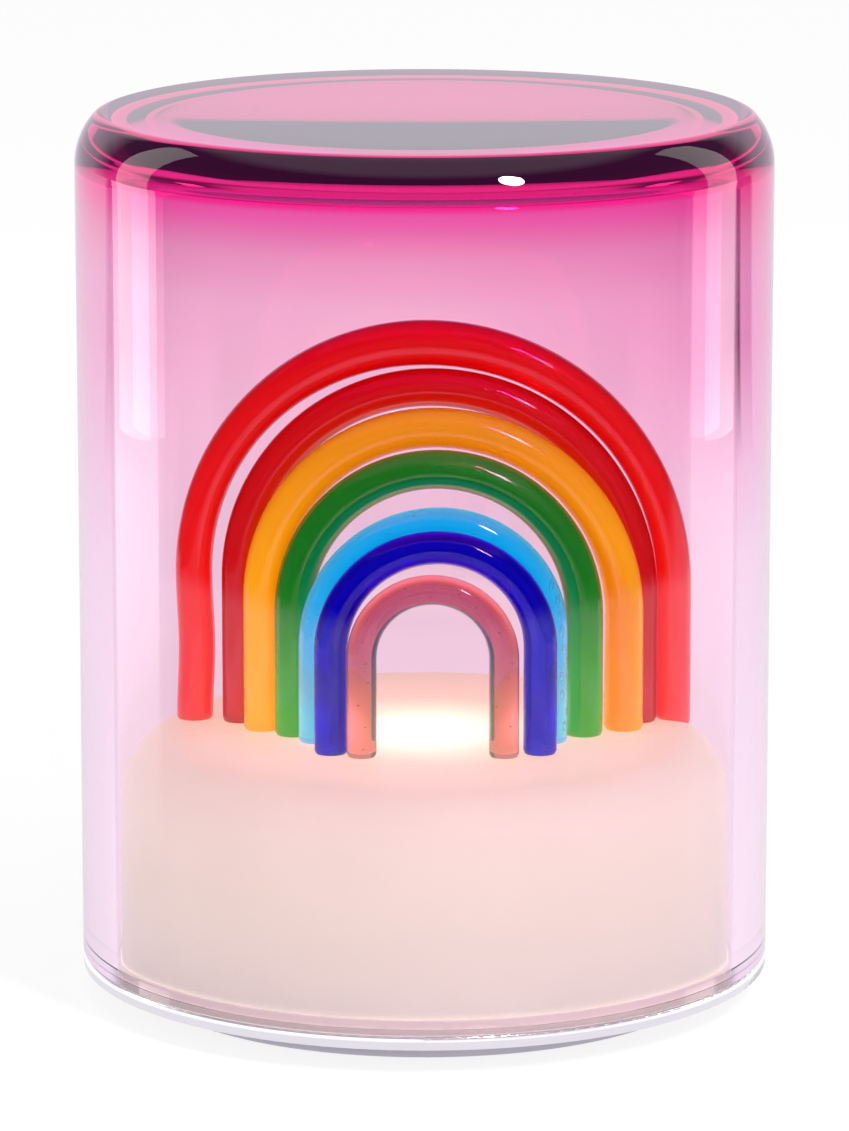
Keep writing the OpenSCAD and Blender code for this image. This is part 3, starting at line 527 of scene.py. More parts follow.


# Each glass: its two tints, its edge tint, its colour in depth and density per metre, the painted glow at its
# foot and crown with that glow's reach in mm, and its milk and haze where it has them.
CANE_GLASSES = {
    "rose": (("FDF0EE", "FBE8E6"), "FFF0E4", "E1419A", 260.0, ("4C6600", "000000", 30)),
    "cobalt": (("6C68F0", "5E5CE8"), "A098FF", "6C00F8", 800.0, ("0C0040", "000000", 50)),
    "sky": (("00E4FF", "00D8FC"), "C0F4FF", "00E6F9", 60.0, ("586A70", "006084", 42), 0.2, 0.05),
    "green": (("08CC44", "04C03A"), "60E868", "00EC8A", 260.0, ("306C00", "000000", 40), 0.1, 0.3),
    "amber": (("FCDC00", "F8D200"), "FFE400", "FFF400", 60.0, ("906000", "581400", 90), 0.1, 0.45),
    "inner_red": (("EC0004", "E40004"), "EC0C08", "FE0012", 60.0, ("480008", "400000", 90), 0.1, 0.4),
    "outer_red": (("FC0008", "F80006"), "FF2010", "FE0012", 60.0, ("7C1414", "400000", 95), 0.1, 0.4),
}
cane_glasses = {name: cane_glass(name + "_cane_glass", *looks) for name, looks in CANE_GLASSES.items()}
canes_tree = cane_tree()
for order, (name, cane) in enumerate(CANES.items()):
    rod = grown(
        canes_tree,
        cane_path(cane["bend"], cane["y"]),
        {
            "Thickness": cane["d"] * MM,
            "Swell": CANE_SWELL,
            "Foot round": FOOT_ROUND * MM,
            "Seed": 3.0 + order,
            "Glass": cane_glasses[name],
        },
    )
    bm = bmesh.new()
    bm.from_mesh(rod)
    bpy.data.meshes.remove(rod)
    for vert in bm.verts:
        x, y, z = (c / MM for c in vert.co)
        near_foot = max(0.0, 1 - (z - mound_top) / FOOT_BLEND)
        z += (mound_surface(x, y) - mound_top) * min(1.0, near_foot)
        if name == "outer_red":
            x, z = hand_bent(x, z, cane)
        vert.co = (x * MM, y * MM, z * MM)
    bmesh.ops.recalc_face_normals(bm, faces=bm.faces)
    slot_name = "red_glass" if "red" in name else name + "_glass"
    mesh = finished_mesh("cane_" + name, bm)
    piece("cane_" + name + "_rod", mesh, cane_glasses[name], "base", slot_name, "cane_" + name)


# Bubbles: air that the drawing of the rods has caught, as round seeds in the clear canes and as long drawn
# bubbles in the sky cane's right leg. Each lies well inside its rod.

BUBBLE_MARGIN = 2.0

# The part of the cane that has bubbles is given in shares of its length. The steps between them, their size
# and their shift aside are in mm, and how far they stray is a share of the rod's radius.
BUBBLES = {
    "rose": {"part": (0.0, 1.0), "step": 5.0, "size": 0.2, "stretch": 1.0, "stray": 0.4, "aside": 0.0},
    "cobalt": {"part": (0.0, 1.0), "step": 6.0, "size": 0.2, "stretch": 1.0, "stray": 0.4, "aside": 0.0},
    "sky": {"part": (0.0, 1.0), "step": 2.6, "size": 0.24, "stretch": 1.0, "stray": 0.4, "aside": 0.0},
    "sky_leg": {"part": (0.72, 0.98), "step": 3.4, "size": 0.46, "stretch": 3.4, "stray": 0.14, "aside": 2.3},
}


def bubble_tree():
    """Geometry Nodes that strew bubbles round a path, drawn out along Z as asked for."""
    sizes = dict.fromkeys(("Spacing", "Spread", "Size", "Stretch"), "Float")
    inputs = {"Path": "Geometry", **sizes, "Seed": "Int", "Air": "Material"}
    tree, given = group_start("caught_bubbles", inputs, "Bubbles")
    line = add(tree, "GeometryNodeMeshToCurve", {0: given["Path"]})
    row = add(tree, "GeometryNodeCurveToPoints", {"Curve": line, "Length": given["Spacing"]}, mode="LENGTH")
    least = add(tree, "ShaderNodeMath", {0: given["Spread"], 1: -1.0}, operation="MULTIPLY")
    low = add(tree, "ShaderNodeCombineXYZ", {0: least, 1: least, 2: least})
    high = add(tree, "ShaderNodeCombineXYZ", {0: given["Spread"], 1: given["Spread"], 2: given["Spread"]})
    shift = add(
        tree,
        "FunctionNodeRandomValue",
        {0: low, 1: high, "Seed": given["Seed"]},
        data_type="FLOAT_VECTOR",
    )
    strewn = add(tree, "GeometryNodeSetPosition", {"Geometry": row.outputs["Points"], "Offset": shift})
    small = add(tree, "ShaderNodeMath", {0: given["Size"], 1: 0.5}, operation="MULTIPLY")
    grow = add(
        tree,
        "FunctionNodeRandomValue",
        {2: small, 3: given["Size"], "Seed": given["Seed"]},
        data_type="FLOAT",
    )
    tall = add(tree, "ShaderNodeMath", {0: grow.outputs[1], 1: given["Stretch"]}, operation="MULTIPLY")
    shape = add(tree, "ShaderNodeCombineXYZ", {0: grow.outputs[1], 1: grow.outputs[1], 2: tall})
    ball = add(tree, "GeometryNodeMeshIcoSphere", {"Radius": 1.0, "Subdivisions": 3})
    each = add(tree, "GeometryNodeInstanceOnPoints", {"Points": strewn, "Instance": ball, "Scale": shape})
    return group_end(tree, each, given["Air"])


# Caught air: it bends light the other way round from the glass about it, so each bubble has a dark edge and
# a bright heart. A trace of gas in it makes some a little duller than others.
air, tree, place = new_material("air_caught_in_glass")
fume = add(tree, "ShaderNodeTexNoise", {"Vector": place, "Scale": 150.0, "Detail": 1.0})
tone = add(tree, "ShaderNodeMix", {0: fume, 6: "F4F8FC", 7: "FFFFFF"}, data_type="RGBA")
bubble = add(
    tree,
    "ShaderNodeBsdfPrincipled",
    {"Base Color": tone.outputs[2], "Roughness": 0.0, "IOR": 0.667, "Transmission Weight": 1.0},
)
add(tree, "ShaderNodeOutputMaterial", {"Surface": bubble})

bubbles_tree = bubble_tree()
for order, (name, bubbles) in enumerate(BUBBLES.items()):
    cane = CANES[name.split("_")[0]]
    path = cane_path(cane["bend"], cane["y"])
    first, last = (round(part * (len(path) - 1)) for part in bubbles["part"])
    margin = round(BUBBLE_MARGIN / PATH_STEP)
    path = path[max(first, margin) : min(last, len(path) - margin)]
    path = [(x + bubbles["aside"], y, z) for x, y, z in path]
    caught = grown(
        bubbles_tree,
        path,
        {
            "Spacing": bubbles["step"] * MM,
            "Spread": bubbles["stray"] * cane["d"] / 2 * MM,
            "Size": bubbles["size"] * MM,
            "Stretch": bubbles["stretch"],
            "Seed": 11 + order,
            "Air": air,
        },
    )
    for face in caught.polygons:
        face.use_smooth = True
    piece("cane_" + name + "_bubbles", caught, air, "base", name.split("_")[0] + "_glass")


# Tray: a disc of aluminium, turned on a lathe and clear anodised, that carries both glasses.
# Its edge is rounded and shows the tool's fine marks.


def reworked(node, name, material, slot, body="base", crease=32):
    """A piece of a CAD node's shape: its loose triangles joined, its rounds smooth and its flats flat."""
    bm = bmesh.new()
    bm.from_mesh(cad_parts[node].data)
    bmesh.ops.remove_doubles(bm, verts=bm.verts, dist=2e-6)
    mesh = finished_mesh(name, bm, crease)
    for face in mesh.polygons:
        face.use_smooth = abs(face.normal.z) < 0.9999
    return piece(name, mesh, material, body, slot, node)


def turned_metal(name, colours, roughness, mark_mm, painted_light_from=0.0, lit="000000"):
    """Metal off the lathe, with rings of tool marks at a spacing in mm that soften its reflections, and with
    a glow of painted light on it of a given colour from a height in mm up."""
    material, tree, place = new_material(name)
    parts = add(tree, "ShaderNodeSeparateXYZ", {0: place})
    flat = add(tree, "ShaderNodeCombineXYZ", {0: parts.outputs["X"], 1: parts.outputs["Y"]})
    out = add(tree, "ShaderNodeVectorMath", {0: flat}, operation="LENGTH")
    ringed = add(tree, "ShaderNodeCombineXYZ", {0: out.outputs["Value"], 1: parts.outputs["Z"]})
    marks = add(tree, "ShaderNodeTexNoise", {"Vector": ringed, "Scale": 1000.0 / mark_mm, "Detail": 1.0})
    film = add(tree, "ShaderNodeTexNoise", {"Vector": place, "Scale": 70.0, "Detail": 3.0})
    tone = add(tree, "ShaderNodeMix", {0: film, 6: colours[0], 7: colours[1]}, data_type="RGBA")
    rough = add(
        tree,
        "ShaderNodeMapRange",
        {"Value": marks, "To Min": roughness - 0.06, "To Max": roughness + 0.06},
    )
    cut = {"Height": marks, "Strength": 0.25, "Distance": 0.00002}
    grooves = add(tree, "ShaderNodeBump", cut)
    # Painted light: a glow of the given colour from the given height up.
    painted_light_mask = add(
        tree,
        "ShaderNodeMapRange",
        {"Value": parts.outputs["Z"], "From Min": painted_light_from * MM, "From Max": (painted_light_from + 0.3) * MM},
    )
    surface = add(
        tree,
        "ShaderNodeBsdfPrincipled",
        {
            "Base Color": tone.outputs[2],
            "Metallic": 1.0,
            "Roughness": rough,
            "Normal": grooves,
            "Emission Color": lit,
            "Emission Strength": painted_light_mask,
        },
    )
    add(tree, "ShaderNodeOutputMaterial", {"Surface": surface})
    return material


# Painted light: a pale glow painted on the tray's rounded top edge, from 8.05 mm up, under the glass rim.
tray_metal = turned_metal("turned_anodised_aluminium", ("E2E1E5", "E6E5E9"), 0.16, 0.25, 8.05, "9A9098")
reworked("tray", "tray_disc", tray_metal, "turned_aluminium")


# Foot: a shallow cup of aluminium, turned and bead-blasted, duller than the tray, which it is screwed up to.
# Its colours are darker than the tray's, as painted shade under the tray's overhang. Its floor holds the
# button and the pads, and its wall the charging socket.

# Painted shade: the foot's darker colours stand in for the shadow under the tray's overhang.
foot_metal_painted_shade = turned_metal("bead_blasted_aluminium", ("B2AFB8", "BEBBC4"), 0.42, 0.4)
reworked("foot", "foot_cup", foot_metal_painted_shade, "foot_aluminium")


# Seals: two rings of silicone, moulded with a low lip, that the shade's and the mound's rims stand on.
# The shade's is clear and the mound's is milky white, and both sit in the tray without glue.


def silicone(name, colours, clear, roughness, lit="000000"):
    """Moulded silicone with a faint haze, as clear as asked for, and a glow of a given colour painted on it.
    """
    material, tree, place = new_material(name)
    haze = add(tree, "ShaderNodeTexNoise", {"Vector": place, "Scale": 180.0, "Detail": 2.0})
    tone = add(tree, "ShaderNodeMix", {0: haze, 6: colours[0], 7: colours[1]}, data_type="RGBA")
    surface = add(
        tree,
        "ShaderNodeBsdfPrincipled",
        {
            "Base Color": tone.outputs[2],
            "Roughness": roughness,
            "IOR": 1.41,
            "Specular IOR Level": 0.15,
            "Transmission Weight": clear,
            "Emission Color": lit,
            "Emission Strength": 1.0,
        },
    )
    add(tree, "ShaderNodeOutputMaterial", {"Surface": surface})
    return material


# The clear ring is a thin line between glass and metal. It has their pale tone and a painted glow in
# place of the light that it would let through.
clear_rubber = silicone("moulded_clear_silicone", ("F8ECEC", "F4E6E6"), 0.0, 0.4, "989890")
reworked("shade_seal", "shade_seal_ring", clear_rubber, "clear_silicone")

white_rubber = silicone("moulded_white_silicone", ("F6F0F2", "FAF5F6"), 0.1, 0.4)
reworked("mound_seal", "mound_seal_ring", white_rubber, "white_silicone")


# Foot pads: four discs of black rubber, moulded with a fine grain and pressed into the foot's recesses.
# They hide the countersunk screws that hold the foot to the tray.

CORNER_ANGLES = (45, 135, 225, 315)
PAD_AT = 54.7
PAD_TOP = 1.6


def moulded(name, colours, roughness, grain_mm, depth=0.1, metal=0.0, clear=0.0):
    """A moulded, pressed or plated finish with a slight drift of colour and a fine grain of a size in mm."""
    material, tree, place = new_material(name)
    drift = add(tree, "ShaderNodeTexNoise", {"Vector": place, "Scale": 90.0, "Detail": 2.0})
    tone = add(tree, "ShaderNodeMix", {0: drift, 6: colours[0], 7: colours[1]}, data_type="RGBA")
    grain = add(tree, "ShaderNodeTexNoise", {"Vector": place, "Scale": 1000.0 / grain_mm, "Detail": 2.0})
    rough = add(
        tree,
        "ShaderNodeMapRange",
        {"Value": grain, "To Min": roughness - 0.05, "To Max": roughness + 0.05},
    )
    bump = add(tree, "ShaderNodeBump", {"Height": grain, "Strength": depth, "Distance": 0.0001})
    values = {"Base Color": tone.outputs[2], "Roughness": rough, "Normal": bump, "Metallic": metal}
    if clear:
        values["Transmission Weight"] = clear
    surface = add(tree, "ShaderNodeBsdfPrincipled", values)
    add(tree, "ShaderNodeOutputMaterial", {"Surface": surface})
    return material


def dress(material, *nodes):
    """Gives CAD nodes whose shape is right their material."""
    for node in nodes:
        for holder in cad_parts[node].material_slots:
            holder.material = material


pad_rubber = moulded("moulded_nitrile_rubber", ("262628", "303033"), 0.62, 0.4, 0.3)
reworked("foot_pads", "foot_pad_discs", pad_rubber, "pad_rubber")


# Screws: zinc-plated steel with hexagon sockets. Countersunk ones hold the foot, pan heads the rest, and
# one tree sets each kind in its holes. Sizes are shank radius, head radius and head height in mm.

M3 = (1.5, 2.8, 2.0)
M25 = (1.25, 2.3, 1.6)
M2 = (1.0, 1.8, 1.2)
SCREW_SIDES = 24
TRAY_LOW = 6.2


def screw_mesh(name, size, length, sunk=False):
    """A screw that points up, with its head's seat at z = 0, or a countersunk one with its face there."""
    shank, head, height = size
    face = 0.0 if sunk else -height
    neck = height - 0.4 if sunk else 0.0
    socket = 0.42 * head
    profile = [(0.0, face + 0.6 * height, 0), (socket, face + 0.6 * height, 1), (socket, face, 1)]
    profile += [(head - 0.15, face, 0), (head, face + 0.15, 0), (shank if sunk else head, neck, 0)]
    profile += [(shank, neck + 0.01, 0), (shank, length - 0.4, 0), (shank - 0.4, length, 0), (0.0, length, 0)]
    bm = bmesh.new()
    rings = []
    for r, z, six in profile:
        ring = []
        for i in range(SCREW_SIDES if r else 1):
            a = 2 * math.pi * i / SCREW_SIDES
            reach = r / math.cos(math.radians((math.degrees(a) + 30) % 60 - 30)) if six else r
            ring.append(bm.verts.new((reach * MM * math.cos(a), reach * MM * math.sin(a), z * MM)))
        rings.append(ring)
    joined(bm, rings, SCREW_SIDES)
    return finished_mesh(name, bm)


def screw_tree():
    """Geometry Nodes that set a screw at each of a list of points, all turned the same way."""
    inputs = {"Holes": "Geometry", "Screw": "Object", "Turn": "Vector", "Steel": "Material"}
    tree, given = group_start("screws_in_holes", inputs, "Screws")
    model = add(tree, "GeometryNodeObjectInfo", {"Object": given["Screw"]}).outputs["Geometry"]
    placed = add(
        tree,
        "GeometryNodeInstanceOnPoints",
        {"Points": given["Holes"], "Instance": model, "Rotation": given["Turn"]},
    )
    return group_end(tree, placed, given["Steel"])


def ring_places(angles, reach, z):
    """Places in mm at each of a list of angles in degrees on one circle."""
    return [(reach * math.cos(math.radians(a)), reach * math.sin(math.radians(a)), z) for a in angles]


def four_places(x, y, z):
    """Places in mm at the four corners of a rectangle round the axis."""
    return [(i * x, j * y, z) for i in (-1, 1) for j in (-1, 1)]


# Zinc-plated steel: cold and bright, with reflections that the plating's grain spreads a little.
screw_steel = moulded("zinc_plated_steel", ("B4B6BA", "C6C7C8"), 0.28, 0.3, 0.05, metal=1.0)
screws_tree = screw_tree()
UP, DOWN = (0.0, 0.0, 0.0), (math.pi, 0.0, 0.0)
# Each kind's size and length, whether it is countersunk, its turn and its places.
SCREWS = {
    "foot_screws": (M3, 6.8, True, UP, ring_places(CORNER_ANGLES, PAD_AT, PAD_TOP)),
    "housing_screws": (M3, 10.7, False, UP, ring_places((60, 120, 240, 300), 38.243, TRAY_LOW)),
    "cradle_screws": (M25, 10.7, False, UP, four_places(10.0, 28.5, TRAY_LOW)),
    "board_screws": (M25, 4.6, False, DOWN, four_places(28.0, 15.0, 15.6)),
    "carrier_screws": (M2, 4.0, False, DOWN, ring_places(CORNER_ANGLES, 33.0, 44.0)),
    "socket_screws": (M2, 2.6, False, DOWN, [(-8.5, 49.0, 4.23), (8.5, 49.0, 4.23)]),
}
for name, (size, length, sunk, turn, places) in SCREWS.items():
    pattern = in_scene("one_of_" + name, screw_mesh("one_of_" + name, size, length, sunk))
    mesh = grown(screws_tree, places, {"Screw": pattern, "Turn": turn, "Steel": screw_steel}, edges=False)
    bpy.data.objects.remove(pattern)
    piece(name + "_set", mesh, screw_steel, "base", "screw_steel", name)


# Power button: a turned aluminium cap in the foot's floor, with fine rings of tool marks. A collar keeps it
# in, and its stem reaches up to the tact switch.

button_metal = turned_metal("turned_button_aluminium", ("D2D1D6", "DEDDE1"), 0.24, 0.15)
reworked("power_button", "power_button_cap", button_metal, "button_aluminium", body="button")


# Return spring: an open coil of hard drawn steel wire, smooth and bright, between the button's collar and
# the tray. It shortens as the button goes in, and its upper end stays.

spring_steel = moulded("drawn_spring_steel", ("A4A4A8", "B8B8BA"), 0.3, 0.2, 0.05, metal=1.0)
spring = reworked("button_spring", "return_spring_coil", spring_steel, "spring_steel", crease=60)
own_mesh(spring)


# Tact switch: a black nylon body on the control board, with a white nylon plunger that the button's stem
# pushes. The board's other parts have the same black, satin mouldings.

nylon_black = moulded("moulded_black_nylon", ("1C1C1E", "242427"), 0.5, 0.3)
dress(nylon_black, "tact_switch", "board_parts")
nylon_white = moulded("moulded_white_nylon", ("E6E4DE", "EEECE6"), 0.45, 0.3)
dress(nylon_white, "switch_plunger")


# Core housing: a white ABS cup, moulded with a light spark-eroded texture, over the cells and the control
# board. Four bosses inside take the screws that come up through the tray.

white_abs = moulded("moulded_white_abs", ("EDEBE6", "F3F1EC"), 0.48, 0.5, 0.15)
reworked("core_housing", "core_housing_cup", white_abs, "white_abs")


# Light unit: an aluminium plate that spreads the heat, a white-masked board with a middle LED and two
# rings of LEDs under their yellow phosphor, and a frosted polycarbonate cover that is pressed over them.

plate_metal = turned_metal("milled_plate_aluminium", ("C6C6CA", "D2D2D5"), 0.34, 0.6)
reworked("led_carrier", "led_plate", plate_metal, "plate_aluminium")

white_mask = moulded("white_solder_mask", ("F0F0EC", "F7F7F4"), 0.35, 0.8, 0.05)
dress(white_mask, "led_board")

phosphor = moulded("silicone_phosphor", ("EFD86A", "F6E27E"), 0.4, 0.2)
dress(phosphor, "leds")

frosted = moulded("moulded_frosted_polycarbonate", ("F6F5F0", "FBFAF7"), 0.55, 0.4, 0.2, clear=0.6)
reworked("led_cover", "led_cover_dome", frosted, "frosted_polycarbonate")


# Leads: stranded copper in extruded silicone, soldered to the control board. Two red ones run up beside the
# cells to the LED board, and three black ones run down to the charging board.

red_sleeve = moulded("extruded_red_silicone", ("A8201C", "BC2822"), 0.5, 0.6)
dress(red_sleeve, "led_leads")
black_sleeve = moulded("extruded_black_silicone", ("1E1E20", "28282B"), 0.5, 0.6)
dress(black_sleeve, "socket_leads")


# Cells: two rechargeable cells in green shrink sleeve, side by side in a moulded grey ABS cradle, with
# nickel-plated contact plates at their ends.

cell_sleeve = moulded("shrunk_green_pvc_sleeve", ("2E8C6A", "379A76"), 0.3, 1.2, 0.1)
reworked("cells", "cell_pair", cell_sleeve, "cell_sleeve")

grey_abs = moulded("moulded_grey_abs", ("A9ABAD", "B5B7B8"), 0.5, 0.5, 0.15)
dress(grey_abs, "cell_cradle")

nickel = moulded("nickel_plated_steel", ("C4BEB4", "D0CABF"), 0.22, 0.3, 0.05, metal=1.0)
dress(nickel, "cell_contacts")


# Control and charging boards: glass-fibre laminate under green solder mask, whose weave shows faintly.
# The control board stands on hexagonal brass spacers and the charging board on the foot's two bosses.

# The threads are drawn 1.2 mm apart, about twice as coarse as real ones, so that they show. A wave texture
# has a little over three bands in each unit.
WEAVE_MM = 1.2
BANDS_PER_UNIT = 3.14

board_mask, tree, place = new_material("green_masked_laminate")
threads = {"Vector": place, "Scale": 1000.0 / (WEAVE_MM * BANDS_PER_UNIT)}
across = add(tree, "ShaderNodeTexWave", threads)
along = add(tree, "ShaderNodeTexWave", threads, bands_direction="Y")
weave = add(tree, "ShaderNodeMath", {0: across.outputs["Fac"], 1: along.outputs["Fac"]}, operation="MULTIPLY")
tone = add(tree, "ShaderNodeMix", {0: weave, 6: "0F4A2E", 7: "17603C"}, data_type="RGBA")
surface = add(tree, "ShaderNodeBsdfPrincipled", {"Base Color": tone.outputs[2], "Roughness": 0.32})
add(tree, "ShaderNodeOutputMaterial", {"Surface": surface})
dress(board_mask, "control_board", "socket_board")

brass = turned_metal("turned_brass", ("D8B060", "E2BC70"), 0.25, 0.2)
dress(brass, "board_spacers")


# Charging socket: a drawn steel shell with round ends and its tongue, open at the back of the foot.
# Beside it a clear acrylic pipe brings the charge light out through the foot's side.

shell_steel = moulded("drawn_stainless_steel", ("B9B9BC", "C8C8CA"), 0.24, 0.25, 0.05, metal=1.0)
reworked("usb_socket", "charging_socket_shell", shell_steel, "nickel_plate")

acrylic = moulded("polished_clear_acrylic", ("E4F4E6", "EEFAEF"), 0.12, 0.5, 0.02, clear=0.85)
reworked("charge_light", "charge_light_pipe", acrylic, "clear_acrylic")


# Studio: a white table and background, soft light from above and around, a small bright lamp at the
# front on the right, and two tall soft boxes beside the lamp that only show as reflections.

# Angles are in degrees and lengths in metres from here on.
AMBIENT = 0.62
LAMP_RIGHT = 31
LAMP_RISE = 40
LAMP_AIM = (0, 0, 0.13)
LAMP_SIZE = (0.14, 0.28)
BOX_UP = 0.352
TABLE_R = 3.0
SHEET_END = 0.525


def bright(name, place, aim, size, level, shape="RECTANGLE", **shown):
    """An area light of a given radiance at a place, turned to a point, both in metres."""
    data = bpy.data.lights.new(name, "AREA")
    data.shape = shape
    data.size, data.size_y = size
    data.energy = level * math.pi * size[0] * size[1]
    made = in_scene(name, data)
    made.location = place
    made.rotation_euler = (Vector(aim) - Vector(place)).to_track_quat("-Z", "Y").to_euler()
    made.visible_camera = False
    for key, value in shown.items():
        setattr(made, key, value)
    return made


def only_below(light, bounces, most):
    """Keeps a light to the paths that have fewer bounces of a kind than so many."""
    light.data.use_nodes = True
    tree = light.data.node_tree
    tree.nodes.clear()
    ray = add(tree, "ShaderNodeLightPath")
    shallow = add(tree, "ShaderNodeMath", {0: ray.outputs[bounces], 1: most}, operation="LESS_THAN")
    glow = add(tree, "ShaderNodeEmission", {"Color": "FFFCF6", "Strength": shallow})
    add(tree, "ShaderNodeOutputLight", {"Surface": glow})


def around(azimuth, elevation, distance, centre=(0, 0, 0.1)):
    """A point round the lamp, at an angle from its front towards +X, in metres."""
    a, e = math.radians(azimuth), math.radians(elevation)
    way = Vector((math.sin(a) * math.cos(e), -math.cos(a) * math.cos(e), math.sin(e)))
    return Vector(centre) + distance * way


def ray_kinds(tree):
    """The light path's kinds, whether the ray shows what it meets, and whether it was mirrored on its way."""
    ray = add(tree, "ShaderNodeLightPath").outputs
    bounces = {0: ray["Is Glossy Ray"], 1: ray["Is Transmission Ray"]}
    shiny = add(tree, "ShaderNodeMath", bounces, operation="MAXIMUM")
    seen = add(tree, "ShaderNodeMath", {0: ray["Is Camera Ray"], 1: shiny}, operation="MAXIMUM")
    mirrored = add(tree, "ShaderNodeMath", {0: ray["Glossy Depth"], 1: 0.5}, operation="GREATER_THAN")
    return ray, seen, mirrored


# The glint adds to the lamp's reflections without more light on the opal glass. The soft boxes show in the
# shade's outer and inner face, and not in what lies behind it.
unlit = {"visible_diffuse": False}
lamp_place, glint_place = (around(LAMP_RIGHT, LAMP_RISE, distance) for distance in (1.2, 1.19))
bright("front_lamp", lamp_place, LAMP_AIM, LAMP_SIZE, 45.0, shape="ELLIPSE")
glint = bright("front_glint", glint_place, LAMP_AIM, LAMP_SIZE, 40.0, shape="ELLIPSE", **unlit)
only_below(glint, "Diffuse Depth", 0.5)
unseen = {"visible_glossy": False, "visible_transmission": False}
bright("roof_light", (0.1, -0.2, 1.4), (0, 0, 0.1), (1.2, 1.2), 0.8, **unseen)
for name, x, y, wide, level in (
    ("left_box", -0.54, 0.135, 0.17, 1.85),
    ("right_box", 0.53, 0.16, 0.165, 1.7),
):
    soft_box = bright(name, (x, y, BOX_UP), (0, 0, BOX_UP), (wide, 0.62), level, **unlit)
    only_below(soft_box, "Transmission Depth", 2.5)

# The room is white where it is seen. Mirrored, it is dim but for its far end and its roof, which leave
# dark and bright lines on the glass.
world = bpy.data.worlds.new("studio")
bpy.context.scene.world = world
world.use_nodes = True
tree = world.node_tree
tree.nodes.clear()
ray, seen, mirrored = ray_kinds(tree)
way = add(tree, "ShaderNodeTexCoord")
parts = add(tree, "ShaderNodeSeparateXYZ", {0: way.outputs["Generated"]})
behind = add(tree, "ShaderNodeMapRange", {"Value": parts.outputs["Y"], "From Min": 0.58, "From Max": 0.75})
roof = add(
    tree,
    "ShaderNodeMapRange",
    {"Value": parts.outputs["Z"], "From Min": 0.7, "From Max": 0.8, "To Min": 0.08, "To Max": 0.8},
)
band = add(tree, "ShaderNodeMath", {0: behind, 1: roof}, operation="MAXIMUM")
room = add(tree, "ShaderNodeMix", {0: mirrored, 2: 1.0, 3: band})
level = add(tree, "ShaderNodeMix", {0: seen, 2: AMBIENT, 3: room.outputs[0]})
paper = add(tree, "ShaderNodeMix", {0: mirrored, 6: "FFFFFF", 7: "F4EEFA"}, data_type="RGBA")
sky = add(tree, "ShaderNodeBackground", {"Color": paper.outputs[2], "Strength": level.outputs[0]})
add(tree, "ShaderNodeOutputWorld", {"Surface": sky})

# Matt white lacquer with a faint grain. Seen, it is lit up to the background's white and keeps the lamp's
# shadow. Mirrored in the glass it is a pale sheet with edges: it ends about half a metre in front, which
# gives the veil over the lower front, and runs further at the back and sides, which gives the pale edges.
table_finish, tree, place = new_material("white_table")
ray, seen, mirrored = ray_kinds(tree)
spot = add(tree, "ShaderNodeSeparateXYZ", {0: place})
x, y = spot.outputs["X"], spot.outputs["Y"]
near = add(tree, "ShaderNodeVectorMath", {0: place}, operation="LENGTH").outputs["Value"]

# The sheet's front end, which is a little wider than a circle.
squeezed = add(tree, "ShaderNodeVectorMath", {0: place, 1: (0.95, 1.0, 1.0)}, operation="MULTIPLY")
reach = add(tree, "ShaderNodeVectorMath", {0: squeezed}, operation="LENGTH").outputs["Value"]
front = add(tree, "ShaderNodeMapRange", {"Value": reach, "From Min": SHEET_END + 0.02, "From Max": SHEET_END})

# Its rear part, between two slanting sides and whole near the lamp.
slant = add(tree, "ShaderNodeMath", {0: x, 1: near}, operation="DIVIDE")
slant = add(tree, "ShaderNodeMath", {0: slant, 1: 0.04}, operation="ADD")
slant = add(tree, "ShaderNodeMath", {0: slant}, operation="ABSOLUTE")
aside = add(tree, "ShaderNodeMapRange", {"Value": slant, "From Min": 0.795, "From Max": 0.77})
close = add(tree, "ShaderNodeMapRange", {"Value": near, "From Min": 0.95, "From Max": 0.7})
aside = add(tree, "ShaderNodeMath", {0: aside, 1: close}, operation="MAXIMUM")
rear = add(tree, "ShaderNodeMapRange", {"Value": y, "From Min": -0.02, "From Max": 0.03})
within = add(tree, "ShaderNodeMix", {0: rear, 2: front, 3: aside})

# In front it is dimmer from 0.35 m out.
forward = add(tree, "ShaderNodeMapRange", {"Value": y, "From Min": 0.03, "From Max": -0.02})
afar = add(tree, "ShaderNodeMapRange", {"Value": near, "From Min": 0.35, "From Max": 0.39})
forward = add(tree, "ShaderNodeMath", {0: forward, 1: afar}, operation="MULTIPLY")
forward = add(tree, "ShaderNodeMath", {0: forward, 1: -0.55, 2: 1.0}, operation="MULTIPLY_ADD")
within = add(tree, "ShaderNodeMath", {0: within.outputs[0], 1: forward}, operation="MULTIPLY")

# A wedge of more light to each side, which only the shade's outer face mirrors, low on its sides.
apart = add(tree, "ShaderNodeMath", {0: x}, operation="ABSOLUTE")
wide = add(tree, "ShaderNodeMapRange", {"Value": apart, "From Min": 0.2, "From Max": 0.6, "To Max": 2.2})
front_edge = add(tree, "ShaderNodeMath", {0: apart, 1: -0.14, 2: y}, operation="MULTIPLY_ADD")
rear_edge = add(tree, "ShaderNodeMath", {0: apart, 1: -0.657, 2: y}, operation="MULTIPLY_ADD")
patch_a = add(tree, "ShaderNodeMapRange", {"Value": front_edge, "From Min": -0.065, "From Max": -0.057})
patch_b = add(tree, "ShaderNodeMapRange", {"Value": rear_edge, "From Min": -0.078, "From Max": -0.09})
patch = add(tree, "ShaderNodeMath", {0: patch_a, 1: patch_b}, operation="MULTIPLY")
left = add(tree, "ShaderNodeMapRange", {"Value": x, "From Min": 0.1, "From Max": -0.1, "To Min": 0.5})
patch = add(tree, "ShaderNodeMath", {0: patch, 1: left}, operation="MULTIPLY")
patch = add(tree, "ShaderNodeMath", {0: patch, 1: wide}, operation="MULTIPLY")
first = add(tree, "ShaderNodeMath", {0: ray["Transmission Depth"], 1: 0.5}, operation="LESS_THAN")
patch = add(tree, "ShaderNodeMath", {0: patch, 1: first}, operation="MULTIPLY")
within = add(tree, "ShaderNodeMath", {0: within, 1: patch}, operation="ADD")

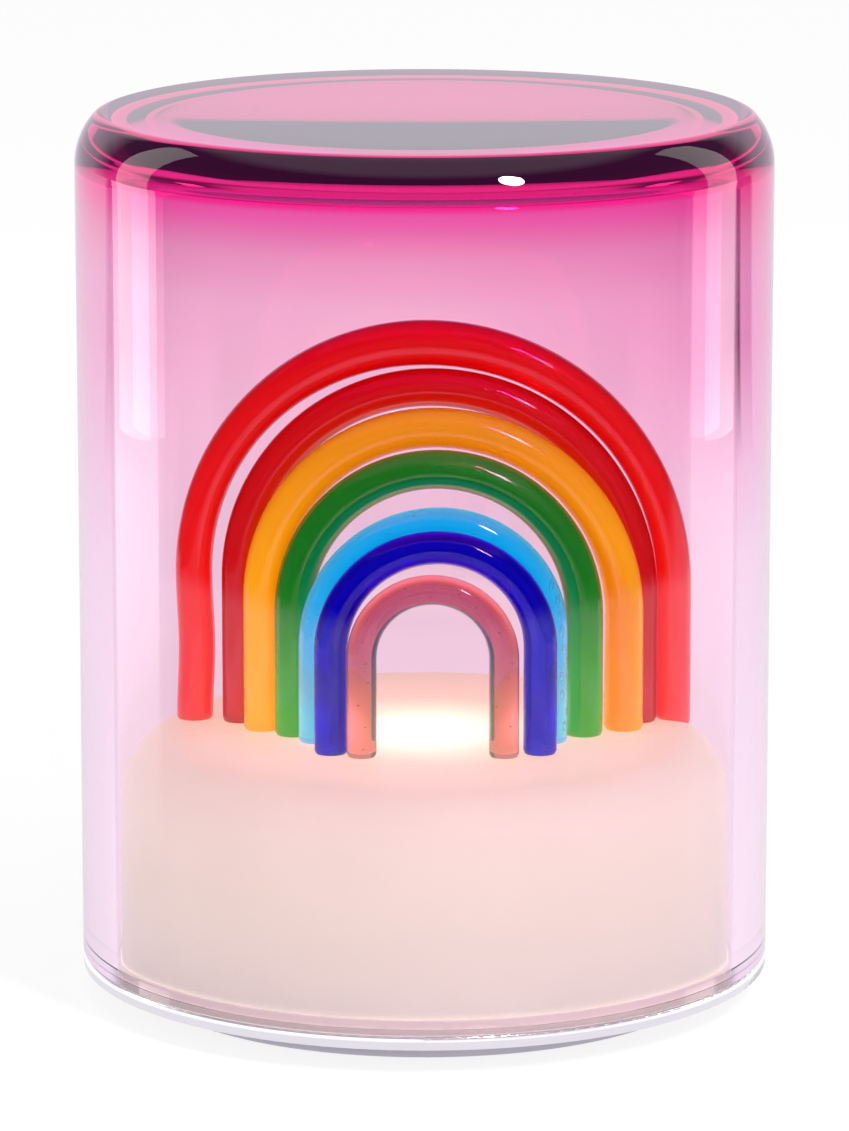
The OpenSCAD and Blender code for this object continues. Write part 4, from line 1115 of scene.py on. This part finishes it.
# Seen and not mirrored, the table is a tenth brighter from 0.7 to 0.95 m behind the lamp.
white_a = add(tree, "ShaderNodeMapRange", {"Value": y, "From Min": 0.5, "From Max": 0.7, "To Max": 0.1})
white_b = add(tree, "ShaderNodeMapRange", {"Value": y, "From Min": 1.15, "From Max": 0.95})
white = add(tree, "ShaderNodeMath", {0: white_a, 1: white_b, 2: 1.0}, operation="MULTIPLY_ADD")
shown = add(tree, "ShaderNodeMix", {0: mirrored, 2: white, 3: within})
lift = add(tree, "ShaderNodeMath", {0: seen, 1: shown.outputs[0]}, operation="MULTIPLY")
lift = add(tree, "ShaderNodeMath", {0: lift, 1: 0.8}, operation="MULTIPLY")
paper = add(tree, "ShaderNodeTexNoise", {"Vector": place, "Scale": 400.0, "Detail": 2.0})
tone = add(tree, "ShaderNodeMix", {0: paper, 6: "8C8C8C", 7: "909090"}, data_type="RGBA")
lit = add(tree, "ShaderNodeVectorMath", {0: tone.outputs[2], "Scale": shown.outputs[0]}, operation="SCALE")
matt = add(tree, "ShaderNodeBsdfDiffuse", {"Color": lit})
cool = add(tree, "ShaderNodeMix", {0: mirrored, 6: "FFFFFF", 7: "FBF8FD"}, data_type="RGBA")
pale = add(tree, "ShaderNodeEmission", {"Color": cool.outputs[2], "Strength": lift})
both = add(tree, "ShaderNodeAddShader", {0: matt, 1: pale})
add(tree, "ShaderNodeOutputMaterial", {"Surface": both})

bm = bmesh.new()
bmesh.ops.create_circle(bm, cap_ends=True, segments=96, radius=TABLE_R)
floor_mesh = bpy.data.meshes.new("table_top")
bm.to_mesh(floor_mesh)
bm.free()
floor_mesh.materials.append(table_finish)
floor = in_scene("table_top", floor_mesh)


# Camera: a long lens from the front, a little above the lamp, looking down by about twelve degrees.
# Its lens is in mm on film 36 mm wide.

CAMERA_BACK = 1.3841
CAMERA_UP = 0.3925
CAMERA_DOWN = 11.948
LENS = 194.2
FILM = 36.0

camera_data = bpy.data.cameras.new("camera")
camera_data.lens = LENS
camera_data.sensor_width = FILM
camera = in_scene("camera", camera_data)
camera.location = (0, -CAMERA_BACK, CAMERA_UP)
camera.rotation_euler = (math.radians(90 - CAMERA_DOWN), 0, 0)
bpy.context.scene.camera = camera
bpy.context.scene.view_settings.view_transform = "Standard"
